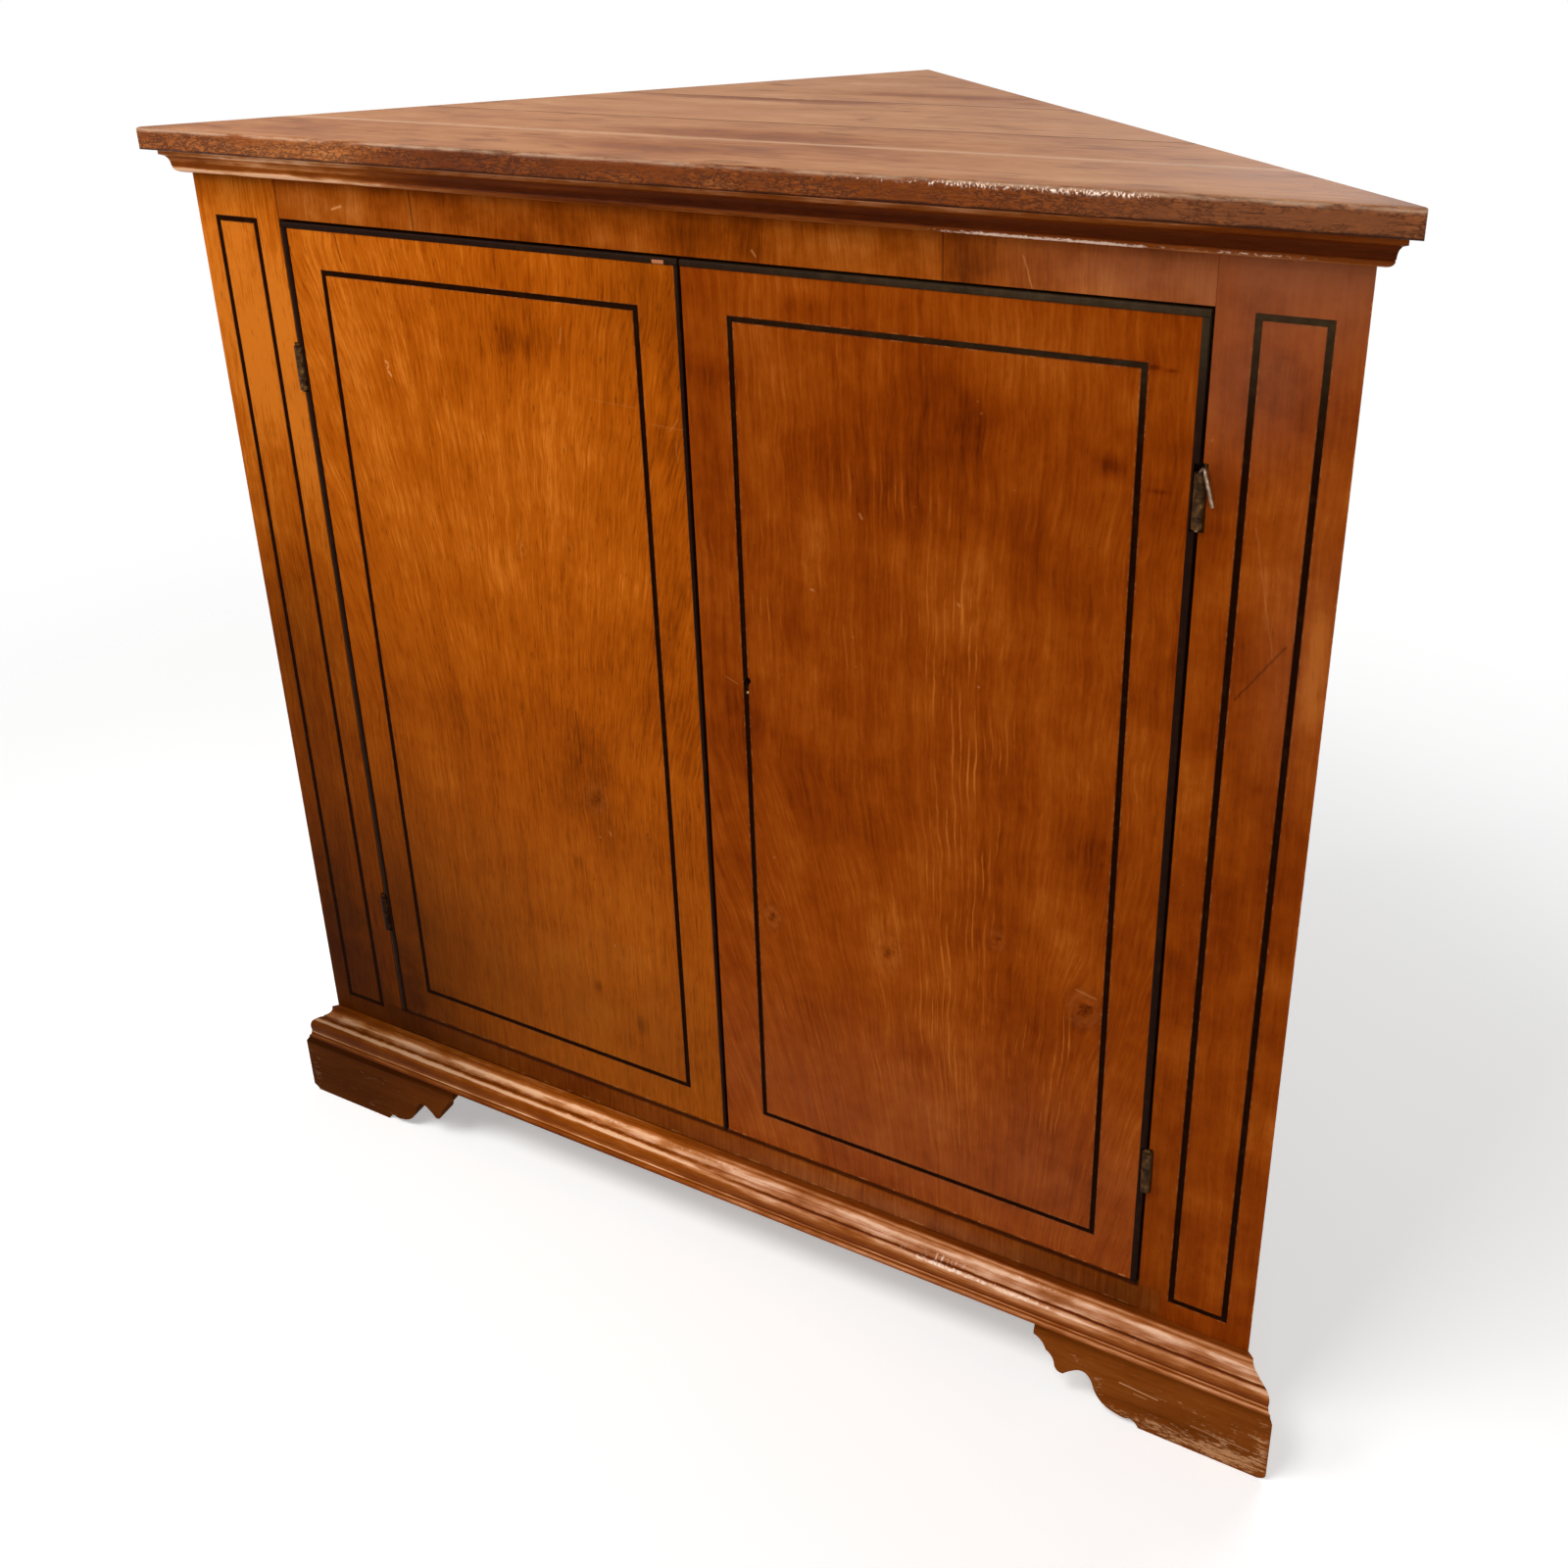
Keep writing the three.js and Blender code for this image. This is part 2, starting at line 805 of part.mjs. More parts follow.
// The nail runs up through the knuckles, over their top and down in front of the stile
function bentNail() {
  const low = upperHingeZ - hingeLength / 2 - nailTail;
  const high = upperHingeZ + hingeLength / 2;
  const foot = high + nailCrownRise - nailLegDrop;
  const shaft = [0, 0.3, 0.6, 0.92, 1.01].map((share) => (
    new THREE.Vector3(pivotX, pivotY, low + share * (high - low))
  ));
  const bend = nailBendShares.map(([aside, forward, up]) => new THREE.Vector3(
    pivotX + aside * nailLegOffset,
    pivotY - forward * nailLegForward,
    high + up * nailCrownRise,
  ));
  const shoulder = bend[bend.length - 1];
  const tip = new THREE.Vector3(pivotX + nailLegOffset, pivotY - nailLegForward, foot);
  const middle = shoulder.clone().add(tip).multiplyScalar(0.5);
  const path = new THREE.CatmullRomCurve3([...shaft, ...bend, middle, tip], false, 'centripetal');
  const section = new THREE.Shape();
  section.absarc(0, 0, hingePinRadius, 0, 2 * Math.PI, false);
  return new THREE.ExtrudeGeometry(section, {
    steps: nailSteps,
    curveSegments: nailSides,
    bevelEnabled: false,
    extrudePath: path,
  });
}

// Lock and keeper

function lockCase() {
  const [xs, ys, zs] = lockCaseSpans();
  const [boltYs, boltZs] = lockBoltSpans(fitGap);
  const channel = box([xs[0] - overrun, xs[0] + lockBoltLength + fitGap], boltYs, boltZs);
  return cut(box(xs, ys, zs), channel, keyhole(doorBack - lockCaseWall));
}

function lockBolt() {
  return box([rightDoorInner, rightDoorInner + lockBoltLength], ...lockBoltSpans(0));
}

function lockKeeper() {
  const [xs, ys, zs] = keeperSpans();
  const hole = box([xs[0] - overrun, xs[1] + overrun], ...lockBoltSpans(keeperHoleClearance));
  return cut(box(xs, ys, zs), hole);
}

// Door bolts: the same pieces at the top (up = 1) and at the bottom (up = -1), placed from the wood they enter

function doorBolt(seat, up) {
  const tip = seat - up * doorBoltTipClearance;
  const rod = box(
    [doorBoltX - doorBoltWidth / 2, doorBoltX + doorBoltWidth / 2],
    [doorBoltFront, doorBoltBack],
    [tip, tip - up * doorBoltLength],
  );
  const knob = new THREE.CylinderGeometry(boltKnobRadius, boltKnobNeckRadius, boltKnobLength, roundSides);
  knob.translate(doorBoltX, doorBoltBack + boltKnobLength / 2 - fitGap, tip - up * boltKnobSetback);
  return join(rod, knob);
}

function boltPlate(seat, up) {
  const edge = seat - up * boltPlateSetback;
  const far = edge - up * boltPlateLength;
  const inner = doorBoltWidth / 2 + fitGap;
  const outer = inner + boltStapleWall;
  const bridge = [doorBoltBack + fitGap, doorBoltBack + fitGap + boltStapleWall];
  const plateWidth = [doorBoltX - boltPlateWidth / 2, doorBoltX + boltPlateWidth / 2];
  const pieces = [box(plateWidth, [doorBack, doorBack + boltPlateThickness], [edge, far])];
  for (const start of [edge - up * boltStapleWall, far + up * (boltStapleWall + boltStapleLength)]) {
    const heights = [start, start - up * boltStapleLength];
    pieces.push(box([doorBoltX - outer, doorBoltX + outer], bridge, heights));
    for (const hand of [-1, 1]) {
      const wall = [doorBoltX + hand * inner, doorBoltX + hand * outer];
      pieces.push(box(wall, [doorBack + boltPlateThickness / 2, bridge[1]], heights));
    }
  }
  return join(...pieces);
}

// Assembly

function piece(name, geometry, finish) {
  const [color, roughness, metalness] = finishes[finish];
  const mesh = new THREE.Mesh(geometry, new THREE.MeshStandardMaterial({ color, roughness, metalness }));
  mesh.name = name;
  return mesh;
}

const sides = [['left', -1], ['right', 1]];
const hinges = [['upper', upperHingeZ], ['lower', lowerHingeZ]];
const shelfLevels = [['lower', bottomBoardTop + lowerShelfRise], ['upper', bottomBoardTop + upperShelfRise]];

const secondPlankFront = topFrontPlankDepth - topOverhang;
const thirdPlankFront = secondPlankFront + topSecondPlankDepth;
const rearPlankFront = thirdPlankFront + topThirdPlankDepth;
const corniceFoot = caseTop - corniceHeight;

const carcase = new THREE.Group();
carcase.add(
  piece('top_front_plank', frontPlank(secondPlankFront - topSeamGap), 'topWood'),
  piece('top_second_plank', middlePlank(secondPlankFront, thirdPlankFront - topSeamGap), 'topWood'),
  piece('top_third_plank', middlePlank(thirdPlankFront, rearPlankFront - topSeamGap), 'topWood'),
  piece('top_rear_plank', rearPlank(rearPlankFront), 'topWood'),
  piece('cornice_moulding', moulding(corniceShares, corniceProjection, corniceFoot, corniceHeight), 'moulding'),
  piece('frieze_rail', friezeRail(), 'veneer'),
  piece('bottom_rail', bottomRail(), 'redVeneer'),
  piece('base_moulding', moulding(baseShares, baseProjection, caseBottom, baseHeight), 'moulding'),
  piece('rear_foot', rearFoot(), 'rawWood'),
  piece('rear_post', rearPost(), 'rawWood'),
  piece('bottom_board', bottomBoard(), 'shelfWood'),
  piece('door_stop', doorStop(), 'rawWood'),
);
for (const [name, side] of sides) {
  carcase.add(
    piece(`${name}_stile`, stile(side), side < 0 ? 'veneer' : 'redVeneer'),
    piece(`${name}_pilaster_string`, pilasterString(side), 'ebony'),
    piece(`${name}_bracket_foot`, bracketFoot(side), 'moulding'),
    piece(`${name}_foot_block`, footBlock(side), 'rawWood'),
    piece(`${name}_front_back_board`, frontBackBoard(side), 'rawWood'),
    piece(`${name}_rear_back_board`, rearBackBoard(side), 'rawWood'),
    piece(`${name}_bottom_cleat`, cleat(side, bottomBoardUnderside), 'rawWood'),
  );
  for (const [level, top] of shelfLevels) {
    carcase.add(piece(`${name}_${level}_cleat`, cleat(side, top - shelfThickness), 'rawWood'));
  }
  for (const [level, centre] of hinges) {
    const nailed = side > 0 && level === 'upper';
    carcase.add(
      piece(`${name}_${level}_frame_leaf`, hingeLeaf(side, centre, 'frame'), 'brass'),
      piece(`${name}_${level}_hinge_pin`, nailed ? bentNail() : hingePin(side, centre), 'iron'),
    );
  }
}
for (const [level, top] of shelfLevels) {
  carcase.add(piece(`${level}_shelf`, cornerBoard(doorBack + shelfSetback, top - shelfThickness, top), 'shelfWood'));
}

const [leftDoor, rightDoor] = sides.map(([name, side]) => {
  const door = new THREE.Group();
  door.add(
    piece(`${name}_door_panel`, doorPanel(side), side < 0 ? 'veneer' : 'redVeneer'),
    piece(`${name}_door_string`, doorString(side), 'ebony'),
    piece(`${name}_door_top_bead`, topBead(side), 'ebony'),
    piece(`${name}_door_hinge_bead`, hingeBead(side), 'ebony'),
  );
  for (const [level, centre] of hinges) {
    door.add(piece(`${name}_${level}_door_leaf`, hingeLeaf(side, centre, 'door'), 'brass'));
  }
  return door;
});
leftDoor.add(
  piece('meeting_bead', meetingBead(), 'ebony'),
  piece('lock_keeper', lockKeeper(), 'brass'),
  piece('top_bolt', doorBolt(doorStopUnderside, 1), 'iron'),
  piece('top_bolt_plate', boltPlate(doorStopUnderside, 1), 'iron'),
  piece('bottom_bolt', doorBolt(bottomBoardTop, -1), 'iron'),
  piece('bottom_bolt_plate', boltPlate(bottomBoardTop, -1), 'iron'),
);
rightDoor.add(
  piece('lock_case', lockCase(), 'iron'),
  piece('lock_bolt', lockBolt(), 'brass'),
);

// The origin is on the floor, under the middle of the cupboard's outer box
const boxFront = -Math.max(topOverhang, footProjection);
const boxBack = half - cornerClearance;
const cupboard = new THREE.Group();
cupboard.add(carcase, leftDoor, rightDoor);
cupboard.position.y = -(boxFront + boxBack) / 2;

export default cupboard;
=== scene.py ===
"""Looks of the corner cupboard: finishes, small fittings, light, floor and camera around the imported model."""
from dataclasses import dataclass
import math
import random

import bmesh
import bpy
from mathutils import Matrix, Quaternion, Vector


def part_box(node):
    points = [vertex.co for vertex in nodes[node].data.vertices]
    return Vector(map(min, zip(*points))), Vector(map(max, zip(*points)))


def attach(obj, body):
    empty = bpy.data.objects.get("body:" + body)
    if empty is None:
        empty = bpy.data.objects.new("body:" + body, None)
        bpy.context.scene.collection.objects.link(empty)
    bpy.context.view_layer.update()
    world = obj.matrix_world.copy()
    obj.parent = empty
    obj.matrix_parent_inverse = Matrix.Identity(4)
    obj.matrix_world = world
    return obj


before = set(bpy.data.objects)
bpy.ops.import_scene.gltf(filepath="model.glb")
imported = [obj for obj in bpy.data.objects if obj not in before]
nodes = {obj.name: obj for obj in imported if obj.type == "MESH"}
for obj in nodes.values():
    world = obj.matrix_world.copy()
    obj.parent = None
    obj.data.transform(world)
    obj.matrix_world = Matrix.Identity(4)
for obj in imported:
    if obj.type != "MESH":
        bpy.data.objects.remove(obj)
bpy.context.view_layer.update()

scene = bpy.context.scene

# Places and sizes below are in millimetres, from the middle of the front at the floor
MM = 0.001
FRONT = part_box("frieze_rail")[0].y
VENEER = 1.2
# The walls run at 45 degrees to the front, so a step along one goes this share of it sideways and back
WALL = math.sqrt(0.5)


def frame_point(x, y, z):
    """A point in millimetres from the middle of the front, in the frame's metres."""
    return Vector((x * MM, FRONT + y * MM, z * MM))


def node_box(name):
    """Lowest and highest corner of a node in millimetres from the middle of the front."""
    low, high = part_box(name)
    shift = Vector((0, FRONT, 0))
    return (low - shift) / MM, (high - shift) / MM


def shade(red, green, blue, alpha=1.0):
    """A screen colour of 0 to 255 a channel as the linear colour that a shader takes."""
    def linear(channel):
        share = channel / 255
        return share / 12.92 if share <= 0.04045 else ((share + 0.055) / 1.055) ** 2.4
    return (linear(red), linear(green), linear(blue), alpha)


def set_up(thing, **settings):
    """Sets some attributes of a thing and hands it back."""
    for key, value in settings.items():
        setattr(thing, key, value)
    return thing


# Painting with nodes


class Field:
    """A number that varies over a surface, so that patterns can be written as sums."""

    def __init__(self, tree, socket):
        self.tree = tree
        self.socket = socket

    def __add__(self, other):
        return self.tree.math("ADD", self, other)

    __radd__ = __add__

    def __sub__(self, other):
        return self.tree.math("SUBTRACT", self, other)

    def __rsub__(self, other):
        return self.tree.math("SUBTRACT", other, self)

    def __mul__(self, other):
        return self.tree.math("MULTIPLY", self, other)

    def __truediv__(self, number):
        return self * (1 / number)

    def __abs__(self):
        return self.tree.math("ABSOLUTE", self)

    def step(self, low, high):
        """0 where the field is low, 1 where it is high, and a smooth step between."""
        settings = {"interpolation_type": "SMOOTHSTEP"}
        return Field(self.tree, self.tree.wired("ShaderNodeMapRange", self, low, high, **settings))


def total(fields):
    """The sum of some fields, or 0 where there are none."""
    result = 0
    for field in fields:
        result = field if isinstance(result, int) else result + field
    return result


class Tree:
    """A node tree, emptied, with a short call for making and wiring its nodes."""

    def __init__(self, tree):
        self.tree = tree
        tree.nodes.clear()

    def node(self, kind, inputs=None, **settings):
        """A new node. Its inputs are given by name or by index."""
        made = set_up(self.tree.nodes.new(kind), **settings)
        for key, value in (inputs or {}).items():
            self.feed(made.inputs[key], value)
        return made

    def feed(self, socket, value):
        """Wires a field or a socket into a socket, or sets a plain value there."""
        if isinstance(value, Field):
            value = value.socket
        if isinstance(value, bpy.types.NodeSocket):
            self.tree.links.new(value, socket)
        else:
            socket.default_value = value

    def wired(self, kind, *values, **settings):
        """The output of a new node whose first inputs take these values."""
        return self.node(kind, dict(enumerate(values)), **settings).outputs[0]

    def math(self, operation, *values):
        return Field(self, self.wired("ShaderNodeMath", *values, operation=operation))


class Paint(Tree):
    """One material, with a short call for each kind of pattern."""

    def __init__(self, name, seed):
        self.seed = seed
        self.colour = None
        self.flow = None
        self.material = bpy.data.materials.new(name)
        self.material.use_nodes = True
        super().__init__(self.material.node_tree)
        place = self.node("ShaderNodeTexCoord").outputs["Object"]
        self.place = self.scaled(place, (1 / MM, 1 / MM, 1 / MM), (0, -FRONT / MM, 0))
        parts = self.node("ShaderNodeSeparateXYZ", {0: self.place}).outputs
        self.x, self.y, self.z = (Field(self, socket) for socket in parts)

    def scaled(self, place, factors, shift):
        return self.wired("ShaderNodeVectorMath", place, factors, shift, operation="MULTIPLY_ADD")

    def vector(self, x, y, z):
        return self.wired("ShaderNodeCombineXYZ", x, y, z)

    def noise_at(self, place, sizes, number, detail=2.0, roughness=0.5):
        """Noise round 0, mostly within half a unit of it. Its number tells it from the material's others."""
        seed = self.seed + number
        shift = (seed * 7.31, seed * 3.17, seed * 5.73)
        made = self.node("ShaderNodeTexNoise", {
            "Vector": self.scaled(place, [1 / size for size in sizes], shift),
            "Scale": 1, "Detail": detail, "Roughness": roughness,
        })
        return (Field(self, made.outputs[0]) - 0.5) * 2

    def noise(self, *settings):
        """Noise along the object's own axes. Its settings are feature sizes, number, detail and roughness."""
        return self.noise_at(self.place, *settings)

    def grain(self, across, along, *settings):
        """Noise along the wood's flow, which is set first: a place across, along and through the grain."""
        return self.noise_at(self.flow, (across, along, across), *settings)

    def bell(self, distance):
        """1 where distance is 0, falling off softly round it."""
        return self.math("EXPONENT", distance * distance * -1)

    def oval(self, across, upward):
        return self.math("EXPONENT", (across * across + upward * upward) * -1)

    def spot(self, x, z, width, height):
        """1 in the middle of a soft oval on the front, and nearly 0 at twice its reach."""
        return self.oval((self.x - x) / width, (self.z - z) / height)

    def spots(self, rows):
        """The sum of soft ovals, each a place, a reach across, a reach upward and a depth."""
        return total([self.spot(*oval) * depth for *oval, depth in rows])

    def humps(self, rows):
        """The sum of soft humps along the front, each a place, a reach and a depth."""
        return total([self.bell((self.x - x) / reach) * depth for x, reach, depth in rows])

    def scratch(self, x, z, end_x, end_z, width, wander):
        """1 along a scratch between two points of the front."""
        direction = Vector((end_x - x, end_z - z))
        length = direction.length
        direction /= length
        right, up = self.x + wander - x, self.z - z
        across = right * direction.y - up * direction.x
        onward = right * direction.x + up * direction.y
        inside = onward.step(0, width * 2) * onward.step(length, length - width * 2)
        return self.bell(across / width) * inside

    def mix(self, share, below, above):
        inputs = {0: share, 6: below, 7: above}
        return self.node("ShaderNodeMix", inputs, data_type="RGBA", blend_type="MIX").outputs[2]

    def over(self, share, colour):
        """Lays a colour over what is painted so far. The node keeps the share within 0 and 1."""
        self.colour = self.mix(share, self.colour, colour)

    def ramp(self, value, stops):
        made = self.node("ShaderNodeValToRGB", {0: value})
        elements = made.color_ramp.elements
        elements[0].position, elements[0].color = stops[0]
        elements[1].position, elements[1].color = stops[-1]
        for position, colour in stops[1:-1]:
            elements.new(position).color = colour
        return made.outputs[0]

    def tones(self, value, stops):
        """Colours by value. Each stop is its position, then red, green and blue of 0 to 255."""
        return self.ramp(value, [(position, shade(*channels)) for position, *channels in stops])

    def ends_in(self, surface):
        """Ends the material with a shader's output."""
        self.node("ShaderNodeOutputMaterial", {"Surface": surface})
        return self.material

    def finish(self, roughness, height, specular=0.3, metallic=0.0):
        """Ends the material in its colour. Height is the surface's relief in millimetres."""
        bump = self.node("ShaderNodeBump", {"Strength": 1, "Distance": MM, "Height": height})
        shader = self.node("ShaderNodeBsdfPrincipled", {
            "Base Color": self.colour, "Roughness": roughness, "Normal": bump.outputs[0],
            "Specular IOR Level": specular, "Metallic": metallic,
        })
        return self.ends_in(shader.outputs[0])


# Solid wood: secondary timber that is seen behind the veneer and inside

CORE_TONES = (
    (0.0, 78, 47, 24), (0.35, 118, 78, 43), (0.65, 146, 102, 60), (1.0, 172, 128, 82),
)


def plain_wood(paint, first, tones=CORE_TONES, contrast=1.0):
    """Colour and relief of bare or lightly finished wood."""
    broad = paint.grain(34, 700, first, 3)
    lines = paint.grain(4.4, 420, first + 1, 3, 0.6)
    fibres = paint.grain(0.9, 45, first + 2)
    patches = paint.noise((160, 190, 160), first + 3, 3)
    tone = (broad * 0.36 + lines * 0.62 + fibres * 0.3 + patches * 0.34) * contrast + 0.5
    colour = paint.tones(tone, tones)
    return colour, lines * 0.12 + fibres * 0.08


# Veneer on the front. Each piece of it has its own sheet, with the figure that the photograph shows there

HONEY = (
    (0.0, 108, 43, 1), (0.3, 144, 64, 3), (0.5, 161, 75, 6), (0.7, 173, 85, 11), (1.0, 198, 108, 28),
)
RUSSET = (
    (0.0, 88, 29, 1), (0.3, 119, 46, 2), (0.5, 133, 56, 4), (0.7, 145, 66, 9), (1.0, 168, 88, 24),
)
AUTUMN = (
    (0.0, 92, 36, 1), (0.3, 124, 54, 4), (0.5, 141, 66, 10), (0.7, 154, 78, 19), (1.0, 178, 104, 42),
)
GOLD = shade(186, 104, 34)
SCAR = shade(206, 138, 78)
BURN = shade(56, 18, 2)
# Painted shade: the colour laid where shadow falls, in the dark lower left and under the cornice and mouldings
PAINTED_SHADE = shade(34, 10, 1)
RUST_CLOUD = shade(106, 36, 4)
# Pale tint that is partly dust and partly painted sheen, where light glances off the polish
SHEEN_AND_DUST = shade(150, 92, 62)
OLIVE = shade(142, 84, 26)


@dataclass
class Sheet:
    """How one sheet of veneer looks. Places are across and up the front.

    Knots, clouds, spots of painted shade, spots of dust and painted sheen, and ring spots are rows of a place,
    a reach across and upward, and a depth.
    Scars and burns are rows of a start, an end, a width and a depth.
    """

    seed: int
    tones: tuple
    sway: float
    dashes: float
    mottle: float
    rings: tuple
    ring_colour: tuple = BURN
    ring_spots: tuple = ()
    lines: float = 0.26
    strokes: float = 0.4
    rust: float = 0.3
    fan: tuple = None
    knots: tuple = ()
    clouds: tuple = ()
    shade_spots: tuple = ()
    sheen_and_dust: tuple = ()
    sheen_and_dust_colour: tuple = SHEEN_AND_DUST
    scars: tuple = ()
    burns: tuple = ()
    seams: tuple = ()
    bands: tuple = ()
    shaded_rims: tuple = ()
    string: str = None
    keyhole_shade: tuple = None


STRING_WIDTH = 4
STRING_SEED = 5
CASE_EDGE = node_box("right_stile")[1].x
DOOR_REACH = node_box("right_stile")[0].x


def beside_string(paint, string):
    """How far a place is from the middle of a string, a little uneven as old polish is."""
    low, high = node_box(string)
    middle, half = (low + high) / 2, (high - low) / 2
    outward = paint.math(
        "MAXIMUM",
        abs(paint.x - middle.x) - (half.x - STRING_WIDTH / 2),
        abs(paint.z - middle.z) - (half.z - STRING_WIDTH / 2),
    )
    return abs(outward) + paint.noise((16, 16, 16), STRING_SEED - paint.seed, 3, 0.6) * 0.3


def flowing_grain(paint, sheet):
    """Place across the veneer's grain: lines sway, close in to a fan's middle and part at the knots."""
    across = paint.x
    if sheet.fan:
        middle, level, reach, pull = sheet.fan
        rise = paint.math("MINIMUM", paint.math("MAXIMUM", (paint.z - level) / reach, -1), 1)
        across = paint.math("DIVIDE", paint.x - middle, paint.math("EXPONENT", rise * pull))
    slow = paint.noise((150, 420, 150), 0)
    quick = paint.noise((30, 130, 30), 1)
    across = across + slow * sheet.sway + quick * 1.8
    for x, z, width, height, depth in sheet.knots:
        across -= (paint.x - x) * paint.spot(x, z, width * 2.5, height * 3.5) * depth * 0.8
    return across


def veneer(name, sheet):
    """Old cherry veneer under a worn polish, on a core that shows at the edges and behind."""
    paint = Paint(name, sheet.seed)
    across = flowing_grain(paint, sheet)
    paint.flow = paint.vector(across, paint.z, paint.y)
    broad = paint.grain(24, 500, 2, 2)
    lines = paint.grain(4.0, 240, 3, 2)
    strokes = paint.grain(1.7, 26, 4, 3, 0.65)
    ripples = paint.noise((38, 18, 38), 5, 5, 0.62)
    patches = paint.noise((80, 110, 80), 6, 4, 0.55)
    tone = broad * 0.2 + lines * sheet.lines + strokes * sheet.strokes + 0.5
    tone += (ripples * 0.32 + patches * 0.36) * sheet.mottle
    # Clouds shift the tone: mostly the figure's own, and on the left pieces a painted pool of light at the
    # upper left
    tone += paint.spots(sheet.clouds)
    for edge, depth in sheet.bands:
        tone += paint.x.step(edge - 1, edge + 1) * depth
    paint.colour = paint.tones(tone, sheet.tones)

    spacing, ring_share = sheet.rings
    drift = paint.grain(34, 600, 7, 2) * 6
    wave = paint.math("SINE", across * (2 * math.pi / spacing) + drift)
    zone = paint.noise((50, 200, 50), 9, 3) + paint.spots(sheet.ring_spots)
    zone = zone.step(0.0, 0.85)
    breaks = paint.grain(8, 60, 19, 2).step(-0.3, 0.3)
    rings = (wave + strokes * 0.9 + lines * 0.6).step(0.62, 1.1) * zone * breaks * ring_share
    paint.over(rings, sheet.ring_colour)
    rust = paint.noise((70, 110, 70), 8, 3, 0.6).step(0.1, 0.7) * sheet.rust
    paint.over(rust, RUST_CLOUD)
    dashes = paint.grain(1.4, 15, 16, 2, 0.6).step(0.22, 0.52) * sheet.dashes
    paint.over(dashes, BURN)

    wander = paint.noise((7, 7, 7), 10) * 0.8
    dark = []
    pale = [paint.noise((2.6, 3.8, 2.6), 12, 1).step(0.66, 0.74) * 0.35]
    for x, z, width, height, depth in sheet.knots:
        ripple = paint.noise((4, 5, 4), 11, 4, 0.7) * 2.4
        across = (paint.x - x) / width + ripple
        upward = (paint.z - z) / height + ripple * 0.5
        reach = paint.math("SQRT", across * across + upward * upward)
        dark.append(paint.bell(reach * 2.0) * 0.9 * depth)
        dark.append(paint.bell((reach - 1.9) * 2.4) * 0.16 * depth)
        pale.append(paint.bell((reach - 1.3) * 2.2) * 0.06 * depth)
    dark += [paint.scratch(*line, wander) * depth for *line, depth in sheet.burns]
    pale += [paint.scratch(*line, wander) * depth for *line, depth in sheet.scars]
    for x in sheet.seams:
        dark.append(paint.bell((paint.x - x) * 1.6) * 0.7)
    if sheet.string:
        away = beside_string(paint, sheet.string)
        worn = paint.noise((6, 16, 6), 18, 3, 0.7).step(-0.1, 0.4)
        dark.append(away.step(STRING_WIDTH / 2 + 1.3, STRING_WIDTH / 2 + 0.2) * 0.5)
        pale.append(paint.bell((away - STRING_WIDTH / 2 - 0.6) * 1.8) * worn * 0.22)
    paint.over(total(dark), BURN)
    paint.over(total(pale), SCAR)
    # Pale patches, partly dust and partly painted sheen of light on the polish
    if sheet.sheen_and_dust:
        paint.over(paint.spots(sheet.sheen_and_dust) * (ripples * 0.8 + 1), sheet.sheen_and_dust_colour)
    under_doors = abs(paint.x).step(DOOR_REACH + 1, DOOR_REACH - 1)
    # Painted shade in the gap along an edge, with pale chips of wear just above it
    for level, reach, depth in sheet.shaded_rims:
        ragged = paint.noise((12, 12, 12), 15, 3, 0.7)
        rim_shade = paint.bell((paint.z + ragged * 0.8 - level) / reach) * under_doors
        paint.over(rim_shade * depth, BURN)
        chips = paint.bell((paint.z - level - reach * 1.4) * 1.3) * ragged.step(0.05, 0.3)
        paint.over(chips * under_doors * 0.5, SCAR)
    # Painted shade: darker in the lower left, under the cornice and beside the doors
    if sheet.shade_spots:
        darkening = paint.spots(sheet.shade_spots)
        paint.over(paint.math("MINIMUM", darkening + ripples * darkening * 0.3, 0.88), PAINTED_SHADE)

    paint.flow = paint.vector(paint.x, paint.z, paint.y)
    core, core_height = plain_wood(paint, 13)
    behind = paint.y.step(VENEER - 0.1, VENEER + 0.1)
    paint.over(behind, core)
    # Painted shade inside the keyhole
    if sheet.keyhole_shade:
        x, z, reach = sheet.keyhole_shade
        paint.over(paint.spot(x, z, reach, reach) * behind, PAINTED_SHADE)
    swell = paint.noise((70, 90, 70), 14, 2) * 0.3
    edge = paint.noise((9, 9, 9), 17, 3, 0.7)
    chipped = (abs(paint.x) + edge * 2.4).step(CASE_EDGE - 0.5, CASE_EDGE + 0.3)
    paint.over(chipped * 0.6, SCAR)
    height = swell + lines * 0.03 + strokes * 0.03 - dashes * 0.04 + ripples * 0.04 + core_height * behind
    roughness = 0.4 + patches * 0.12 + strokes * 0.08 + behind * 0.3
    return paint.finish(roughness, height, specular=0.01)


# Mouldings and feet: solid wood along the front, pale on worn arrises, with painted highlights on its rounds
# and painted shade in its hollows

# The pale top stops are the colours of painted highlights
MOULDING_TONES = (
    (0.0, 44, 10, 1), (0.25, 90, 35, 4), (0.45, 124, 58, 12), (0.6, 150, 82, 34),
    (0.8, 196, 132, 88), (1.0, 240, 194, 160),
)
# Colour of painted highlights: glints of light on the polish
GLINT = shade(255, 226, 204)
# Tones for the left end, whose painted highlights are golden rather than pale
GOLDEN_TONES = (
    (0.0, 40, 10, 1), (0.25, 84, 30, 1), (0.45, 122, 55, 3), (0.6, 148, 74, 12),
    (0.8, 196, 124, 68), (1.0, 246, 192, 148),
)
BARE_ARRIS = shade(206, 150, 104)
PITS = shade(44, 18, 6)
FOOT_TONES = (
    (0.0, 34, 13, 1), (0.25, 84, 37, 4), (0.5, 122, 60, 14), (0.75, 142, 78, 28), (1.0, 178, 120, 70),
)


